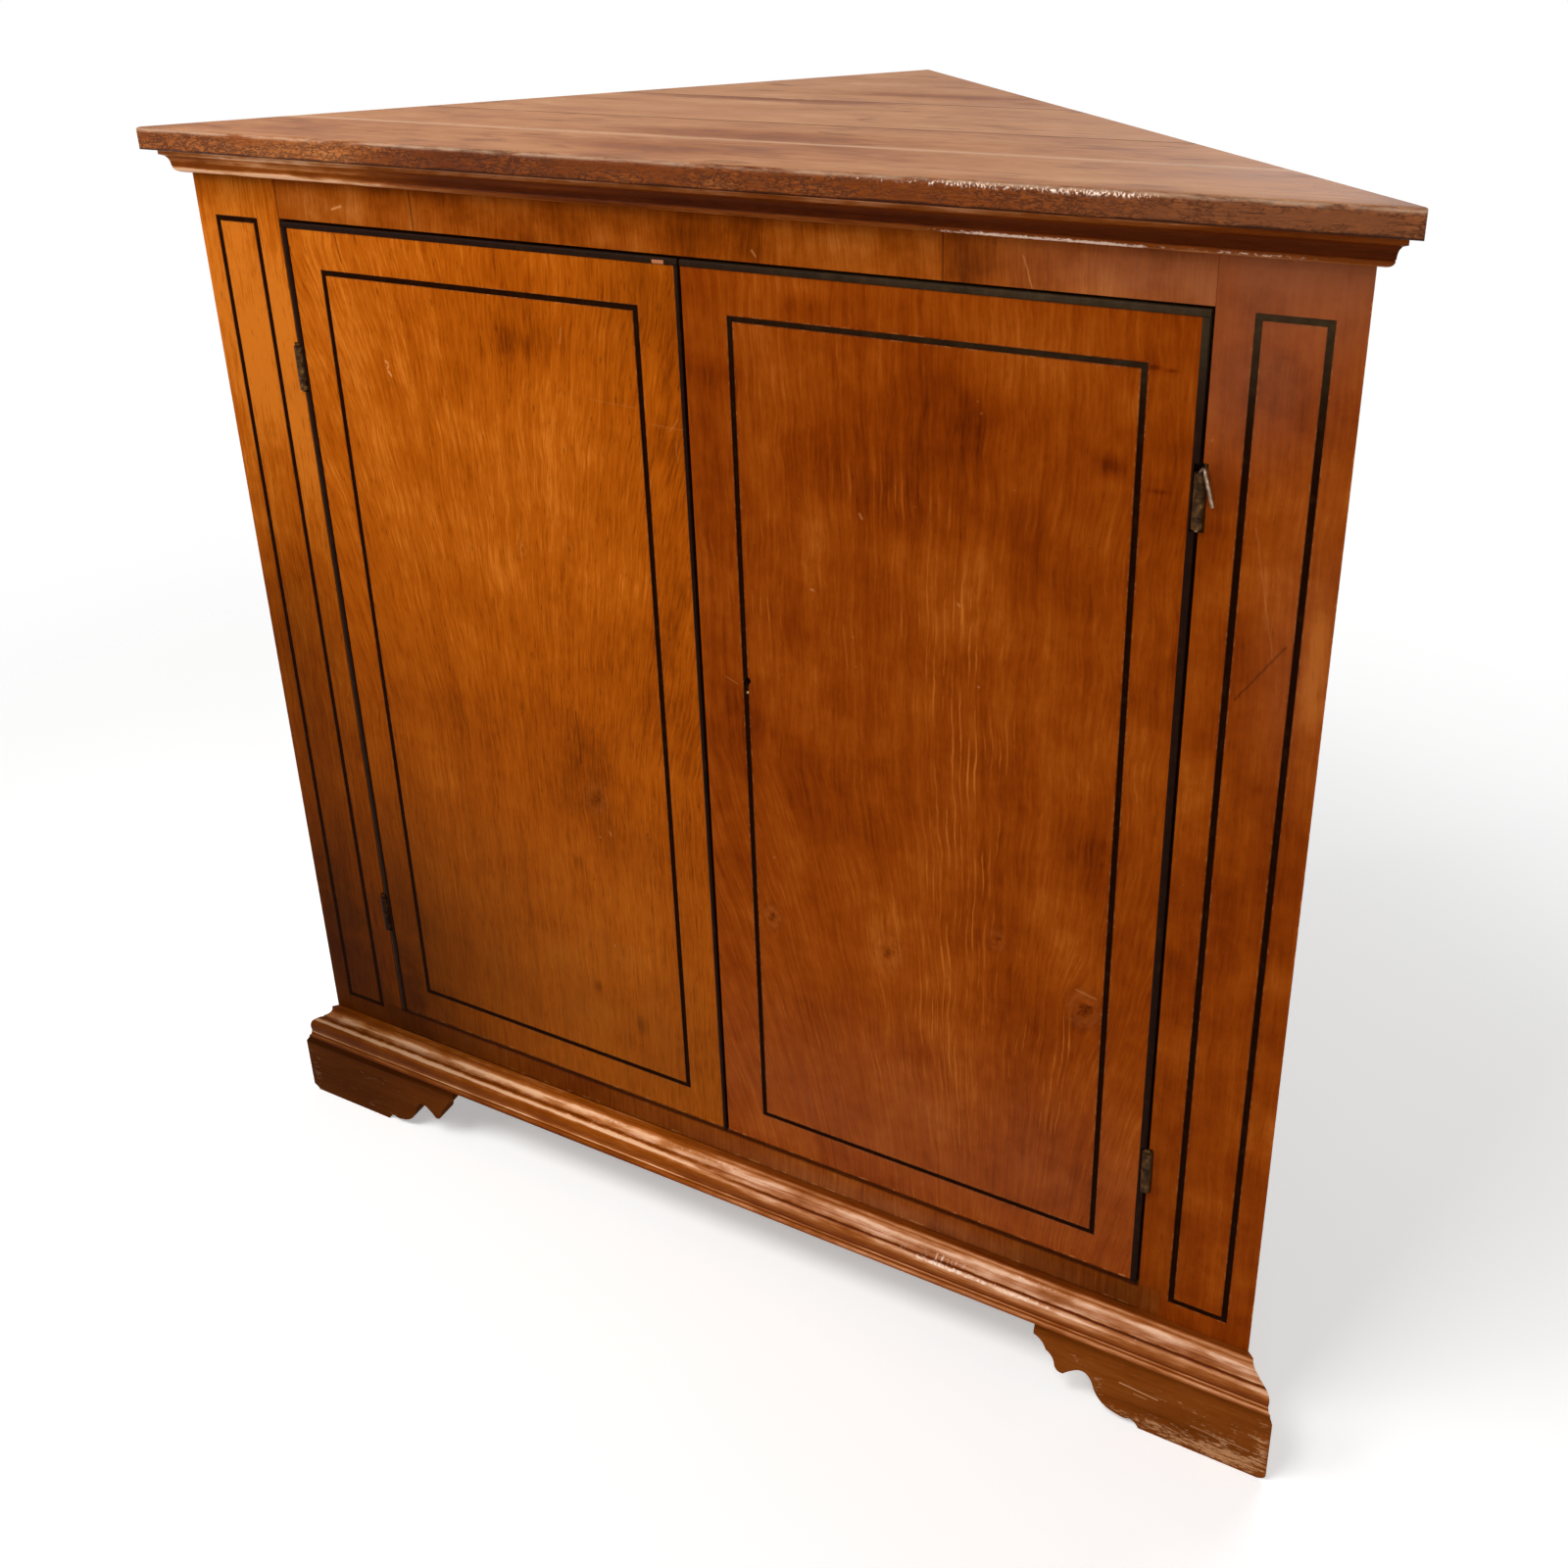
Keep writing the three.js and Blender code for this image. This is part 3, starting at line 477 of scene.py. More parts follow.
def relief_of(paint, height, rows):
    """How far the wood is darker or paler at a height, by rows of height and shift: painted highlights and
    painted shade.
    """
    low, high = rows[0][0], rows[-1][0]
    level = (height - low) / (high - low)
    return Field(paint, paint.ramp(level, [
        ((z - low) / (high - low), (*[0.5 + shift / 2] * 3, 1)) for z, shift in rows
    ])) * 2 - 1


def moulding(name, seed, rows=(), left_rows=(), turn=(0, 0), clouds=(), shade_spots=(), scuffs=(), scars=(),
             glints=(), tones=MOULDING_TONES, specular=0.03):
    """Wood along the front. Rows are heights and shifts of tone: painted highlights and painted shade. Turn is
    where the left rows, with the left end's own painted light, take over.
    """
    paint = Paint(name, seed)
    paint.flow = paint.vector(paint.z, paint.x, paint.y)
    broad = paint.grain(22, 380, 0, 3)
    lines = paint.grain(2.4, 130, 1, 3, 0.6)
    fibres = paint.grain(0.8, 13, 2, 3, 0.6)
    patches = paint.noise((55, 14, 14), 3, 3, 0.65)
    tone = broad * 0.14 + lines * 0.13 + fibres * 0.14 + patches * 0.2 + 0.5
    # Clouds shift the tone; on the cornice and base they brighten or dim the painted highlight bands
    tone += paint.spots(clouds)
    if rows:
        ragged = paint.noise((14, 5, 5), 4, 3, 0.7) * 0.35
        on_left = paint.x.step(*turn)
        relief = relief_of(paint, paint.z + ragged, rows) * (1 - on_left)
        relief += relief_of(paint, paint.z + ragged, left_rows) * on_left
        tone += relief * (patches * 0.9 + lines * 0.5 + 1)
        paint.colour = paint.mix(on_left, paint.tones(tone, tones), paint.tones(tone, GOLDEN_TONES))
    else:
        paint.colour = paint.tones(tone, tones)
    pits = paint.noise((5, 2, 2), 5, 3, 0.7).step(0.36, 0.6) * 0.6
    paint.over(pits, PITS)
    worn = 0
    if scuffs:
        torn = paint.grain(1.6, 8, 6, 4, 0.75) * 1.3
        torn += paint.grain(5, 24, 7, 3) * 0.6
        near = paint.spots(scuffs)
        worn = (torn + near * 0.5).step(0.52, 0.72) * paint.math("MINIMUM", near * 3, 1)
        paint.over(worn * 0.75, BARE_ARRIS)
    for *line, depth in scars:
        paint.over(paint.scratch(*line, fibres * 0.6) * depth, BARE_ARRIS)
    # Painted highlights: broken glints of light along the rounds
    if glints:
        flecks = paint.noise((3.2, 40, 1.6), 9, 3, 0.75)
        bright = (flecks * 1.1 + paint.spots(glints)).step(0.55, 1.0) * 0.9
        paint.over(bright, GLINT)
    # Painted shade: darker at the left end and under the moulding above
    if shade_spots:
        paint.over(paint.math("MINIMUM", paint.spots(shade_spots), 0.9), PAINTED_SHADE)
    dents = paint.noise((6, 4, 4), 8, 3, 0.6)
    height = lines * 0.06 + fibres * 0.05 + dents * 0.14 + patches * 0.12 - worn * 0.2 - pits * 0.15
    roughness = 0.34 + patches * 0.12 + dents * 0.12 + worn * 0.3
    return paint.finish(roughness, height, specular=specular)


# Top: scuffed planks along the front, with a browner, glossier front edge

TOP_TONES = (
    (0.0, 104, 52, 24), (0.3, 148, 90, 52), (0.5, 172, 116, 76), (0.7, 186, 132, 92), (1.0, 210, 164, 126),
)
TOP_EDGE_TONES = (
    (0.0, 44, 15, 3), (0.35, 96, 42, 8), (0.6, 126, 62, 18), (1.0, 186, 114, 60),
)
TOP_LEVEL = 1000
TOP_UNDERSIDE = 982
TOP_EDGE = -25.5
TOP_TIPS = (440, 482)
# Painted highlights along the front arris: places, reaches and strengths
ARRIS_GLINTS = ((226, 40, 0.52), (285, 30, 0.34), (327, 34, 0.48), (150, 40, 0.26), (40, 60, 0.18))
EDGE_CLOUDS = ((-450, 40, -0.1), (-300, 60, 0.12), (-150, 70, -0.16))
TOP_DASH = shade(104, 54, 30)
TOP_SCUFF = shade(226, 188, 154)
SEAM = shade(66, 28, 14)
TOP_EDGE_DUST = shade(132, 88, 60)
TOP_EDGE_CRACK = shade(50, 20, 6)
TOP_EDGE_CHIP = shade(206, 138, 84)
# Painted shade along the bottom of the top's front edge, where it meets the cornice
UNDERSIDE_SHADE = shade(36, 12, 4)


def top_wood(name, seed, seams, tint, streaks, front=False):
    """Scuffed, faded boards. Seams are places and how worn they are, streaks places, reaches and shifts."""
    paint = Paint(name, seed)
    sway = paint.noise((260, 60, 60), 0) * 9
    paint.flow = paint.vector(paint.y + sway, paint.x, paint.z)
    broad = paint.grain(30, 300, 1, 3)
    lines = paint.grain(4, 130, 2, 3, 0.65)
    fibres = paint.grain(1.3, 20, 3, 3, 0.6)
    patches = paint.noise((90, 34, 34), 4, 4, 0.65)
    tone = broad * 0.2 + lines * 0.14 + fibres * 0.2 + patches * 0.5 + 0.47 + tint
    for x, y, width, reach, depth in streaks:
        tone += paint.oval((paint.x - x) / width, (paint.y - y) / reach) * depth
    paint.colour = paint.tones(tone, TOP_TONES)
    scuffs = paint.grain(3.6, 30, 5, 4, 0.75).step(0.26, 0.55) * 0.45
    paint.over(scuffs, TOP_SCUFF)
    dashes = paint.grain(3.4, 13, 6, 4, 0.75).step(0.28, 0.52) * 0.55
    paint.over(dashes, TOP_DASH)
    hairlines = paint.bell(paint.grain(26, 170, 15, 3, 0.6) * 13)
    broken = paint.noise((50, 20, 20), 16, 2).step(0.05, 0.3)
    paint.over(hairlines * broken * 0.5, TOP_DASH)
    patchy = paint.noise((34, 6, 6), 13, 3, 0.7)
    for edge, worn in seams:
        pale = patchy.step(0.35 - worn, 0.65 - worn)
        paint.over(paint.bell((paint.y - edge) * 0.28) * pale * 0.42, TOP_SCUFF)
        paint.over(paint.bell((paint.y - edge) * 0.9) * (1 - pale) * 0.85, SEAM)
    height = lines * 0.1 + fibres * 0.12 + patches * 0.2 - dashes * 0.1
    roughness = 0.55 + patches * 0.15 + scuffs * 0.3
    if front:
        ragged = paint.noise((12, 3, 3), 7, 4, 0.7) * 1.6
        face = (paint.y + ragged).step(TOP_EDGE + 1.2, TOP_EDGE - 1.2)
        tips = abs(paint.x).step(*TOP_TIPS)
        edge_lines = paint.grain(1.4, 18, 8, 4, 0.7)
        edge_patch = paint.noise((60, 14, 14), 9, 3, 0.6)
        grit = paint.noise((2.6, 1.7, 1.7), 17, 3, 0.65)
        paler = paint.x.step(-170, -330) * 0.16 + paint.x.step(400, 450) * 0.06
        paler += paint.humps(EDGE_CLOUDS)
        edge = paint.tones(edge_lines * 0.24 + edge_patch * 0.34 + grit * 0.2 + paler + 0.54, TOP_EDGE_TONES)
        crazed = paint.bell(paint.noise((9, 3.4, 3.4), 18, 2, 0.7) * 7)
        crazed *= (edge_patch + grit * 0.5).step(-0.3, 0.1)
        cracks = paint.noise((6, 1.3, 1.3), 10, 3, 0.75).step(0.36, 0.56)
        splits = paint.noise((34, 1.8, 1.8), 19, 3, 0.7).step(0.2, 0.34)
        splits = splits * paint.x.step(300, 420) * 0.7
        cracks = paint.math("MAXIMUM", paint.math("MAXIMUM", cracks * 0.7, crazed * 0.7), splits)
        edge = paint.mix(paint.x.step(220, 400) * 0.35, edge, TOP_EDGE_DUST)
        edge = paint.mix(cracks, edge, TOP_EDGE_CRACK)
        chips = paint.noise((4.5, 1.8, 1.8), 12, 2, 0.7).step(0.5, 0.62) * 0.5
        edge = paint.mix(chips, edge, TOP_EDGE_CHIP)
        paint.over(paint.math("MAXIMUM", face, tips * 0.6), edge)
        pits = paint.noise((4, 2, 2), 11, 3, 0.7)
        rubbed = paint.y.step(TOP_EDGE + 3.5, TOP_EDGE + 0.5)
        rubbed *= paint.bell((paint.z - (TOP_LEVEL - 1.6)) * 0.8)
        paint.over(rubbed * patchy.step(-0.35, 0.25) * 0.42, TOP_SCUFF)
        # Painted highlights: glints of light along the front arris
        arris = paint.y.step(TOP_EDGE + 2.5, TOP_EDGE)
        arris *= paint.bell((paint.z - (TOP_LEVEL - 3)) * 0.75)
        flecks = paint.noise((1.8, 3, 3), 14, 2, 0.7)
        bright = paint.humps(ARRIS_GLINTS)
        paint.over((flecks + bright).step(0.5, 0.7) * arris * bright * 2, GLINT)
        # Painted shade along the bottom of the front edge, above the cornice
        underside_shade = (paint.z + edge_patch * 3).step(TOP_UNDERSIDE + 2.6, TOP_UNDERSIDE + 1) * face
        paint.over(underside_shade * 0.8, UNDERSIDE_SHADE)
        height += face * (pits * 0.3 - cracks * 0.35)
        roughness = roughness - face * 0.15 + face * pits * 0.1
    return paint.finish(roughness, height, specular=0.08)


# Ebonised wood, metal and bare boards

EBONY_TONES = ((0.0, 14, 3, 0), (0.5, 27, 9, 2), (1.0, 58, 36, 18))
EBONY_DUST_SHEEN = shade(104, 88, 62)
EBONY_RUBBED_SHEEN = shade(96, 68, 46)
EBONY_CHIP = shade(176, 112, 74)
EBONY_DUST_SHEEN_SPOT = (360, 930, 300, 50)


def ebonised(name, seed, wear=0.3, chips=(), specular=0.4):
    """Blackened wood, rubbed brown in places, which also paints a soft highlight, and dusty with a painted
    sheen near the top on the right.
    """
    paint = Paint(name, seed)
    paint.flow = paint.vector(paint.x, paint.z, paint.y)
    mottle = paint.noise((9, 9, 9), 0, 4, 0.65)
    fibres = paint.grain(1.2, 18, 1, 3)
    paint.colour = paint.tones(mottle * 0.4 + fibres * 0.2 + 0.45, EBONY_TONES)
    # Dust with a painted sheen, near the top on the right
    dusty_sheen = paint.spot(*EBONY_DUST_SHEEN_SPOT) * (mottle * 0.8 + 1)
    paint.over(dusty_sheen * 0.2, EBONY_DUST_SHEEN)
    # Rubbed brown patches: wear that also paints a soft highlight
    rubbed = paint.noise((13, 5, 13), 2, 4, 0.7).step(0.34, 0.62) * wear
    paint.over(rubbed, EBONY_RUBBED_SHEEN)
    for x, z, width, tall in chips:
        inside = ((abs(paint.x - x) + mottle).step(width, width - 1)
                  * (abs(paint.z - z) + mottle * 0.6).step(tall, tall - 0.6))
        paint.over(inside, EBONY_CHIP)
    height = mottle * 0.14 + fibres * 0.05
    roughness = 0.5 + mottle * 0.2 + rubbed * 0.3
    return paint.finish(roughness, height, specular=specular)


def metal(name, seed, tones, base_roughness, metallic=0.85, specular=0.5):
    """Old cast or wrought metal, mottled and finely rubbed."""
    paint = Paint(name, seed)
    cast = paint.noise((5, 5, 5), 0, 4, 0.65)
    rubs = paint.noise((0.7, 0.7, 6), 1, 3)
    paint.colour = paint.tones(cast * 0.9 + rubs * 0.2 + 0.5, tones)
    return paint.finish(base_roughness + cast * 0.2 + rubs * 0.08, cast * 0.08 + rubs * 0.03,
                        specular=specular, metallic=metallic)


BOARD_GRIME = shade(70, 52, 38)
BOARD_TONES = (
    (0.0, 72, 47, 27), (0.3, 112, 80, 49), (0.5, 134, 100, 64), (0.7, 152, 118, 79), (1.0, 180, 148, 106),
)
BOARD_SKEW = 0.61


def bare_board(name, seed, along, dust=0.35):
    """Rough secondary boards. The grain runs up, along the front or along a wall, as along says."""
    paint = Paint(name, seed)
    if along == "up":
        onward, through = paint.z, (paint.x - paint.y) * WALL
        across = (paint.x + paint.y) * WALL + through * BOARD_SKEW
    elif along == "front":
        across, onward, through = paint.y, paint.x, paint.z
    else:
        side = 1 if along == "right" else -1
        across, onward = (paint.x * side + paint.y) * WALL, (paint.x * side - paint.y) * WALL
        through = paint.z
    bend = paint.noise((120, 120, 160), 0) * 8
    paint.flow = paint.vector(across + bend, onward, through)
    paint.colour, relief = plain_wood(paint, 1, BOARD_TONES, 1.1)
    saw = paint.grain(60, 2.6, 5, 2)
    darkening = paint.noise((140, 110, 120), 6, 4, 0.6).step(0.0, 0.6) * dust
    paint.over(darkening, BOARD_GRIME)
    height = relief + saw * 0.12 + paint.noise((18, 18, 18), 7, 3) * 0.15
    return paint.finish(0.78 + saw * 0.06, height, specular=0.06)


# Sheets of veneer as the photograph shows them

# The darkening spots in these sheets are painted shade, in the dark lower left and under the cornice
LEFT_DOOR = Sheet(
    seed=3, tones=HONEY, fan=(-185, 700, 210, 0.3), sway=9, dashes=0.66, strokes=0.6, mottle=0.85,
    rings=(4.6, 0.3), rust=0.25, string="left_door_string", shaded_rims=((127, 1.3, 0.9),),
    sheen_and_dust=((-130, 190, 220, 200, 0.3),), sheen_and_dust_colour=OLIVE,
    knots=((-163, 672, 3, 4, 0.7), (-112, 447, 6, 9, 0.7), (-116, 681, 2, 6, 0.5), (-62, 425, 2, 3, 0.6)),
    # The bright cloud at -330, 830 is painted light falling from the upper left
    clouds=(
        (-134, 848, 36, 16, -0.34), (-16, 850, 16, 90, -0.06), (-50, 190, 70, 60, -0.14),
        (-84, 215, 6, 9, -0.5), (-128, 243, 5, 7, -0.4), (-118, 490, 26, 60, -0.2),
        (-200, 470, 100, 60, -0.12), (-330, 830, 90, 150, 0.34), (-170, 740, 90, 90, 0.16),
        (-20, 570, 16, 120, -0.2), (-90, 300, 60, 80, 0.12), (-137, 375, 6, 9, -0.3),
        (-180, 640, 30, 50, 0.2),
    ),
    shade_spots=((-400, 110, 160, 340, 0.78), (-200, 100, 400, 300, 0.16), (-30, 905, 60, 50, 0.2)),
    burns=(
        (-133, 532, -136, 498, 0.7, 0.5), (-125, 531, -124, 478, 0.8, 0.6), (-61, 424, -65, 247, 0.5, 0.4),
        (-52, 330, -60, 215, 0.5, 0.3), (-319, 921, -315, 896, 0.5, 0.8), (-160, 707, -164, 680, 0.5, 0.5),
        (-230, 850, -214, 730, 0.6, 0.3), (-98, 732, -88, 782, 0.6, 0.3), (-82, 735, -66, 790, 0.5, 0.3),
        (-104, 690, -99, 722, 0.5, 0.3), (-150, 560, -152, 520, 0.5, 0.3), (-84, 590, -76, 630, 0.5, 0.25),
    ),
    scars=(
        (-284, 819, -279, 816, 0.8, 1.0), (-279, 816, -282, 811, 0.7, 0.9), (-282, 811, -277, 805, 0.8, 1.0),
        (-105, 866, -108, 851, 0.6, 0.3), (-15, 794, -6, 806, 0.5, 0.2), (-258, 802, -257, 800, 0.9, 0.5),
        (-106, 297, -106, 293, 0.8, 0.6), (-101, 418, -99, 412, 0.7, 0.5), (-112, 410, -110, 407, 0.7, 0.5),
        (-86, 811, -42, 809, 0.4, 0.15), (-32, 798, -3, 797, 0.4, 0.15), (-10, 788, -9, 770, 0.4, 0.2),
    ),
)
RIGHT_DOOR = Sheet(
    seed=21, tones=RUSSET, fan=(238, 330, 200, 0.28), sway=8, dashes=0.34, strokes=0.36, mottle=1.1,
    rings=(4.8, 0.7), ring_colour=GOLD, rust=0.22, string="right_door_string", shaded_rims=((127, 1.3, 0.9),),
    keyhole_shade=(41.4, 595, 9), sheen_and_dust=((200, 190, 260, 100, 0.16),),
    knots=(
        (56, 379, 4, 7, 0.9), (161, 379, 6, 10, 0.6), (250, 420, 4, 6, 0.6), (320, 380, 7, 10, 0.9),
    ),
    clouds=(
        (204, 836, 32, 42, -0.3), (168, 800, 28, 52, -0.15), (320, 817, 9, 7, -0.5),
        (268, 748, 20, 55, -0.15), (322, 494, 24, 60, -0.15), (318, 520, 18, 40, -0.2),
        (112, 790, 40, 40, -0.12), (45, 560, 14, 60, -0.16), (341, 886, 5, 1.5, -0.5),
        (353, 885, 4, 1.3, -0.4), (350, 804, 8, 2, -0.3), (300, 200, 30, 60, -0.12),
        (16, 700, 12, 260, -0.2), (100, 915, 26, 9, 0.4), (105, 850, 30, 40, 0.12), (150, 400, 60, 60, 0.12),
        (60, 300, 30, 120, 0.1), (160, 250, 60, 80, 0.08), (196, 690, 20, 90, 0.14),
        (262, 860, 30, 40, 0.15), (110, 690, 70, 60, 0.12), (165, 400, 30, 40, 0.2),
    ),
    ring_spots=(
        (200, 690, 26, 90, 0.7), (228, 520, 30, 130, 0.8), (215, 320, 44, 110, 0.6), (136, 640, 22, 80, 0.45),
        (285, 300, 30, 90, 0.35), (96, 330, 26, 90, 0.4), (20, 600, 16, 300, -0.5), (356, 500, 16, 400, -0.5),
    ),
    burns=(
        (246, 818, 247.5, 816, 1.0, 0.9), (307, 758, 308, 756, 1.0, 0.9), (196, 410, 214, 250, 0.6, 0.2),
    ),
    scars=(
        (227, 850, 227, 848, 0.9, 0.5), (229, 842, 230, 840, 0.9, 0.5), (254, 791, 254, 789, 0.9, 0.5),
        (139, 755, 142, 749, 0.8, 0.4), (98, 687, 103, 686, 0.9, 0.4), (214, 699, 217, 695, 0.8, 0.4),
        (133, 655, 133, 653, 0.8, 0.5), (135, 631, 135, 629, 0.9, 0.6), (230, 636, 233, 634, 0.9, 0.4),
        (59, 440, 60, 437, 1.4, 0.7), (312, 396, 330, 392, 0.8, 0.25), (22, 597, 34, 592, 0.5, 0.2),
    ),
)
LEFT_STILE = Sheet(
    seed=41, tones=HONEY, sway=6, dashes=0.5, strokes=0.56, mottle=1.2, rings=(5.0, 0.25),
    # The bright clouds near its top are painted light falling from the upper left
    string="left_pilaster_string", clouds=((-430, 820, 80, 140, 0.6), (-388, 720, 14, 160, 0.3)),
    shade_spots=((-450, 90, 150, 425, 0.98), (-450, 540, 90, 90, 0.22), (-420, 990, 120, 44, 0.6)),
    scars=((-378.6, 760, -378.6, 757, 1.2, 0.8), (-380, 735, -380, 733, 1.0, 0.7)),
)
RIGHT_STILE = Sheet(
    seed=57, tones=RUSSET, sway=6, dashes=0.3, strokes=0.26, lines=0.16, mottle=1.35, rings=(5.8, 0.12),
    ring_colour=GOLD, string="right_pilaster_string",
    sheen_and_dust=((430, 975, 90, 60, 0.6), (400, 880, 50, 50, 0.25), (450, 700, 30, 80, 0.15)),
    clouds=(
        (425, 560, 30, 90, -0.15), (425, 400, 60, 50, 0.04), (430, 240, 50, 130, 0.02),
        (456, 690, 9, 50, 0.5), (420, 880, 24, 40, -0.3), (388, 840, 10, 60, -0.25),
        (425, 760, 30, 50, 0.12),
    ),
    shade_spots=((420, 985, 90, 26, 0.25), (392, 200, 20, 120, 0.15), (378, 112, 16, 18, 0.35)),
    scars=(
        (380, 844, 382, 843, 1.1, 0.8), (383, 800, 384, 799, 1.2, 0.8), (392, 800, 393, 800, 1.0, 0.8),
        (412, 790, 430, 700, 0.5, 0.12), (420, 765, 424, 720, 0.5, 0.1),
    ),
    burns=((408, 665, 438, 712, 0.7, 0.6), (446, 705, 447, 690, 0.6, 0.4)),
)
FRIEZE = Sheet(
    seed=71, tones=AUTUMN, sway=8, dashes=0.34, strokes=0.36, mottle=1.8, rings=(6.0, 0.14), lines=0.12,
    seams=(-375.4, -236.9, 201.1), bands=((-236.9, -0.08), (60, 0.06), (201.1, -0.06)),
    sheen_and_dust=((350, 944, 90, 26, 0.5),), shade_spots=((0, 986, 900, 22, 0.4),),
    clouds=(
        (10, 945, 50, 40, -0.1), (-300, 945, 60, 24, 0.18), (110, 942, 40, 20, 0.14),
        (184, 945, 12, 30, 0.26), (355, 945, 30, 30, 0.16),
    ),
    scars=(
        (-319, 939, -306, 943, 0.9, 0.8), (255, 950, 262, 928, 0.5, 0.4), (60, 938, 64, 932, 0.7, 0.4),
    ),
)
BOTTOM_RAIL = Sheet(
    seed=83, tones=AUTUMN, sway=5, dashes=0.4, mottle=1.4, rings=(6.0, 0.15),
    shaded_rims=((124.6, 2.0, 0.95), (98, 2.2, 0.6)), sheen_and_dust=((150, 106, 180, 12, 0.3),),
    shade_spots=(
        (-400, 110, 150, 60, 0.8), (-140, 110, 170, 60, 0.3), (310, 110, 70, 50, 0.35),
        (374, 110, 26, 40, 0.35), (0, 110, 900, 40, 0.12),
    ),
)

SEAM_WEAR = (("second", 0.8), ("third", 0.1), ("rear", 0.25))
PLANK_SEAMS = [(node_box(f"top_{plank}_plank")[0].y, worn) for plank, worn in SEAM_WEAR]
# Painted light on the base moulding: highlights on the torus and cove, painted shade in the groove, pale worn
# arrises
BASE_ROWS = (
    (67, -0.06), (68.4, 0.04), (69.4, 0.26), (70.2, 0.22), (71, -0.12), (72.2, -0.1), (73, 0.2), (73.8, 0.18),
    (74.6, -0.3), (76, -0.1), (79, -0.02), (82, 0.08), (84, 0.18), (85.6, 0.36), (86.6, 0.36), (87.2, 0.1),
    (87.7, -0.4), (88.2, 0.34), (89, 0.3), (90.4, 0.4), (91.4, 0.32), (92.4, 0.14), (93.6, 0.04), (94.6, 0.2),
    (96, 0.2), (96.9, 0.06), (98.5, -0.1),
)
BASE_LEFT_ROWS = (
    (67, -0.1), (68.4, -0.1), (69.4, 0.14), (70.4, 0.14), (71.4, -0.06), (72.4, 0.08), (73.4, 0.46),
    (74.4, 0.12), (75.4, 0.12), (76.4, 0.07), (77.4, 0.0), (80.4, -0.03), (84.4, 0.02), (86.2, 0.08),
    (86.8, 0.2), (87.4, 0.75), (88.1, 0.6), (88.6, -0.1), (89.1, 0.28), (90.4, 0.44), (91.4, 0.44),
    (92.4, 0.32), (93.4, 0.16), (95.4, 0.06), (96.8, -0.02), (97.6, -0.02), (98.1, 0.06), (98.5, 0.08),
)
# Painted light on the cornice: painted shade in the cove and under the top, highlights on the bead
CORNICE_ROWS = (
    (960.5, 0.0), (961.4, 0.12), (962.4, 0.14), (963.2, 0.02), (964.6, 0.0), (965.6, -0.14), (966.6, -0.32),
    (970, -0.34), (974, -0.24), (976, -0.14), (977.4, 0.08), (979, 0.12), (980.6, 0.2), (981.4, 0.0),
    (982, -0.3),
)
# The left rows paint the cornice's left end lighter, as light falls there from the upper left
CORNICE_LEFT_ROWS = (
    (960.5, 0.1), (961.6, 0.14), (962.6, 0.5), (964, 0.66), (965, 0.5), (966, 0.28), (967, 0.11),
    (968.5, 0.0), (970, 0.06), (971.5, 0.26), (973, 0.22), (975, 0.13), (977, 0.3), (979, 0.26),
    (980.6, 0.36), (981.4, 0.1), (982, 0.0),
)

